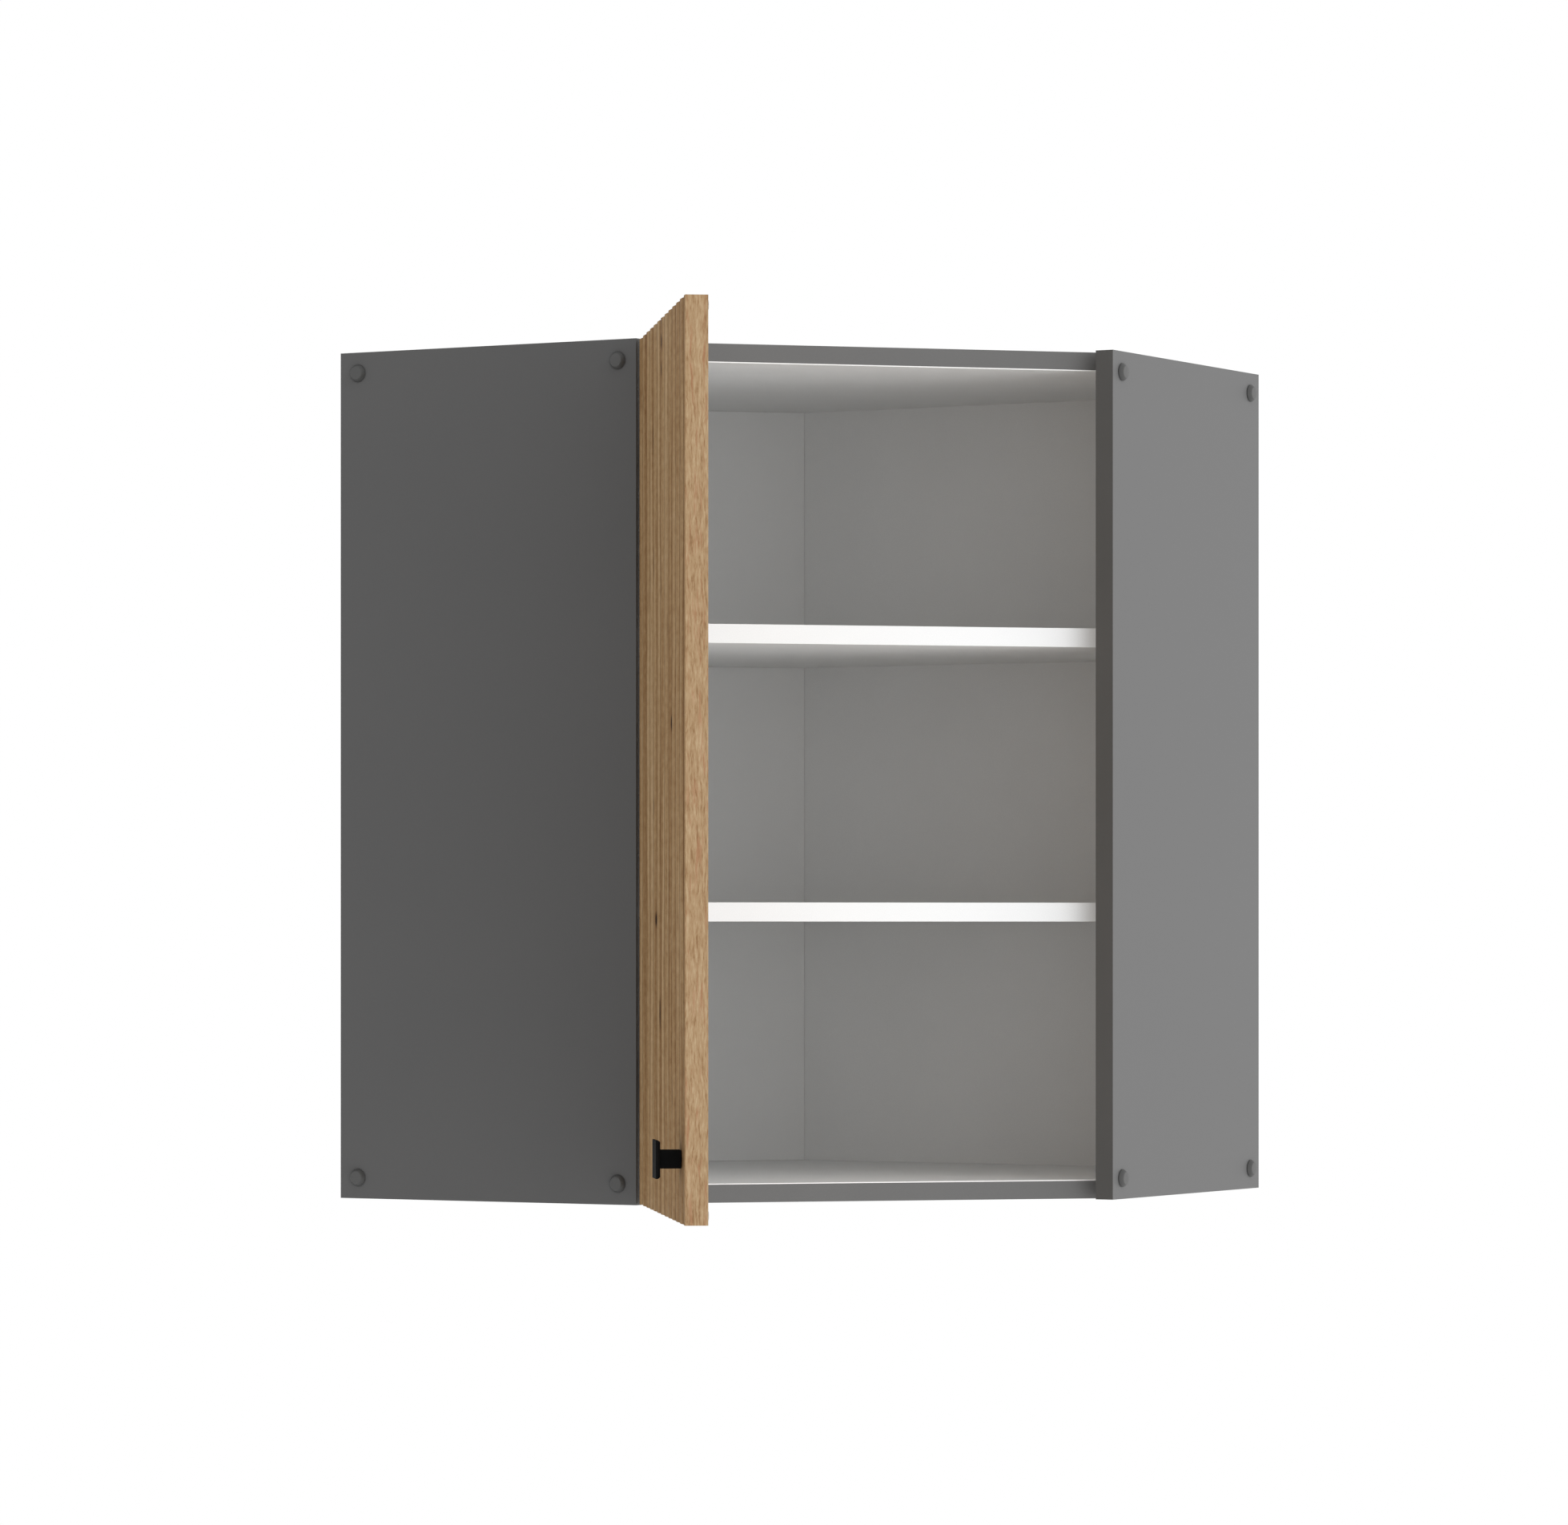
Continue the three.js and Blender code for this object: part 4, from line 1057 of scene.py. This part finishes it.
def makeKnob():
    knob = dressedCopy("squareKnob", "door_knob", knobLook["edgeRadius"], ["blackPowderCoat"], segments=3)
    putOn(knob, "door", "black_knob", "door_knob")
    knobX, knobZ = doorLook["knobPlace"]
    screwTree = turnedTree("knobScrewTree", knobLook["screwRings"], screwLook["segments"], slotCount=2)
    turnedPieces(
        "knobScrew", screwTree, [onDoor(knobX, 0, knobZ)], "zincSteel", "door", "screw_steel", ["knob_screw"],
        **knobLook["screwSlots"],
    )
    across = doorLook["width"] - bumperLook["fromEdge"]
    heights = (carcass["board"] / 2, carcass["height"] - carcass["board"] / 2)
    turnedPieces(
        "doorBumpers", turnedTree("bumperTree", bumperLook["rings"], screwLook["segments"]),
        [onDoor(across, 0, z) for z in heights], "clearRubber", "door",
        "clear_bumper", ["door_bumper_upper", "door_bumper_lower"],
    )


hingeLook = {
    "edgeRadius": 0.3 * mm,
    "heights": {"lower": 100 * mm, "upper": 615 * mm},
    "plateSetback": 38 * mm,
    "plateScrewSpacing": 32 * mm,
    "armFace": 13.3 * mm,
    "armScrewSetbacks": (34 * mm, 50 * mm),
    "cupScrewSpacing": 46 * mm,
    "cupFlangeFace": 19.5 * mm,
    "plateScrewRings": [
        ("Tip", 1.2 * mm, -12 * mm), ("Thread", 2 * mm, -10.5 * mm), ("Neck", 2 * mm, 2.8 * mm),
        ("Seat", 3.6 * mm, 2.8 * mm), ("Head", 3.8 * mm, 3.1 * mm), ("Dome", 3.4 * mm, 4.1 * mm),
        ("Crown", 2.6 * mm, 4.55 * mm),
    ],
    "adjusterRings": [
        ("Foot", 3.1 * mm, -1 * mm), ("Wall", 3.1 * mm, 0.5 * mm), ("Crown", 2.8 * mm, 0.8 * mm),
    ],
}


def makeHinges():
    for level in hingeLook["heights"]:
        for part, body in (
            ("plate", "cabinet"), ("arm", "cabinet"), ("cup", "door"),
            ("outer_link", "outer_links"), ("inner_link", "inner_links"),
        ):
            nodeName = f"hinge_{part}_{level}"
            words = part.split("_")
            label = words[0] + "".join(word.capitalize() for word in words[1:])
            piece = dressedCopy(f"{label}.{level}", nodeName, hingeLook["edgeRadius"], ["nickelSteel"])
            putOn(piece, body, "hinge_steel", nodeName)
    levels = hingeLook["heights"].values()
    plateQ = carcass["sideDepth"] - hingeLook["plateSetback"]
    places = [
        (planPoint(carcass["innerWall"], plateQ, z + end * hingeLook["plateScrewSpacing"] / 2), -alongP)
        for z in levels for end in (-1, 1)
    ]
    nodes = [f"hinge_screw_{level}_{number}" for level in hingeLook["heights"] for number in (1, 2)]
    plateScrews = turnedTree(
        "plateScrewTree", hingeLook["plateScrewRings"], screwLook["segments"], slotCount=2,
    )
    turnedPieces(
        "plateScrews", plateScrews, places, "zincSteel", "cabinet", "screw_steel", nodes,
        **screwLook["slots"],
    )
    faceP = carcass["innerWall"] - hingeLook["armFace"]
    armPlaces = [
        (planPoint(faceP, carcass["sideDepth"] - setback, z), -alongP)
        for z in levels for setback in hingeLook["armScrewSetbacks"]
    ]
    adjusters = turnedTree("adjusterTree", hingeLook["adjusterRings"], screwLook["segments"], slotCount=2)
    turnedPieces(
        "armAdjusters", adjusters, armPlaces, "zincSteel", "cabinet", "screw_steel", **screwLook["slots"],
    )
    cupPlaces = [
        onDoor(
            doorLook["cupDistance"], hingeLook["cupFlangeFace"], z + end * hingeLook["cupScrewSpacing"] / 2,
        )
        for z in levels for end in (-1, 1)
    ]
    turnedPieces("cupScrews", adjusters, cupPlaces, "zincSteel", "door", "screw_steel", **screwLook["slots"])


hangerLook = {"housingRadius": 0.8 * mm, "hookRadius": 0.4 * mm}


def makeHangers():
    for side in ("left", "right"):
        housing = dressedCopy(
            f"hangerHousing.{side}", f"hanger_housing_{side}", hangerLook["housingRadius"],
            ["whiteHangerPlastic"], segments=3,
        )
        putOn(housing, "cabinet", "hanger_plastic", f"hanger_housing_{side}")
        hook = dressedCopy(
            f"hangerHook.{side}", f"hanger_hook_{side}", hangerLook["hookRadius"], ["zincSteel"],
        )
        putOn(hook, f"hook_{side}", "hook_steel", f"hanger_hook_{side}")


makeKnob()
makeHinges()
makeHangers()
print("knob, hinges and hangers placed")


stageLook = {
    "floorDrop": 3.2,
    "floorHalf": 3.0,
    "floorColour": (0.9, 0.9, 0.9),
    "skyLevel": 0.78,
    "skyFromRight": 0.99,     # soft light grows towards the right
    "skyFromFront": 0.70,     # and towards the front
    "skyFromBelow": 0.36,     # and downwards
    "skyLeast": 0.42,
}


def whiteForCamera(tree):
    path = addNode(tree, "ShaderNodeLightPath")
    seen = mathNode(tree, "MAXIMUM", path.outputs["Is Camera Ray"], path.outputs["Is Glossy Ray"])
    return mathNode(tree, "MAXIMUM", seen, path.outputs["Is Transmission Ray"])


def makeWorld():
    world = bpy.data.worlds.new("paleStudio")
    bpy.context.scene.world = world
    world.use_nodes = True
    tree = world.node_tree
    background = tree.nodes["Background"]
    coords = addNode(tree, "ShaderNodeTexCoord").outputs["Generated"]
    right, back, up = addNode(tree, "ShaderNodeSeparateXYZ", {0: coords}).outputs
    level = mathNode(tree, "MULTIPLY_ADD", right, stageLook["skyFromRight"], stageLook["skyLevel"])
    level = mathNode(tree, "MULTIPLY_ADD", back, -stageLook["skyFromFront"], level)
    level = mathNode(tree, "MULTIPLY_ADD", up, -stageLook["skyFromBelow"], level)
    level = mathNode(tree, "MAXIMUM", level, stageLook["skyLeast"])
    tree.links.new(mixColour(tree, whiteForCamera(tree), level, (1, 1, 1)), background.inputs["Color"])


def makeFloor():
    half = stageLook["floorHalf"]
    mesh = bpy.data.meshes.new("floor")
    z = -stageLook["floorDrop"]
    corners = [(-half, -half, z), (half, -half, z), (half, half, z), (-half, half, z)]
    mesh.from_pydata(corners, [], [(0, 1, 2, 3)])
    floor = linkPiece("floor", mesh)
    material, tree, shader = newMaterial("paleFloor")
    shader.inputs["Base Color"].default_value = (*stageLook["floorColour"], 1)
    shader.inputs["Roughness"].default_value = 0.9
    shader.inputs["Specular IOR Level"].default_value = 0
    # The floor only bounces light; where it is seen, the white world shows through it.
    unseen = addNode(tree, "ShaderNodeMixShader", {
        0: whiteForCamera(tree), 1: shader.outputs[0],
        2: addNode(tree, "ShaderNodeBsdfTransparent").outputs[0],
    })
    tree.links.new(unseen.outputs[0], tree.nodes["Material Output"].inputs["Surface"])
    mesh.materials.append(material)


cameraLook = {
    "place": (-1.5629, -5.7401, 0.2331),
    "yaw": 15.005,
    "lens": 149.605,
    "sensor": 36,
    "shift": (0.0659, 0.1021),
}


def makeCamera():
    lens = bpy.data.cameras.new("photoCamera")
    lens.sensor_width = cameraLook["sensor"]
    lens.lens = cameraLook["lens"]
    lens.shift_x, lens.shift_y = cameraLook["shift"]
    camera = bpy.data.objects.new("photoCamera", lens)
    camera.location = cameraLook["place"]
    camera.rotation_euler = (math.radians(90), 0, -math.radians(cameraLook["yaw"]))
    bpy.context.scene.collection.objects.link(camera)
    bpy.context.scene.camera = camera


makeWorld()
makeFloor()
makeCamera()
bpy.context.scene.view_settings.view_transform = "Standard"
print("stage set")
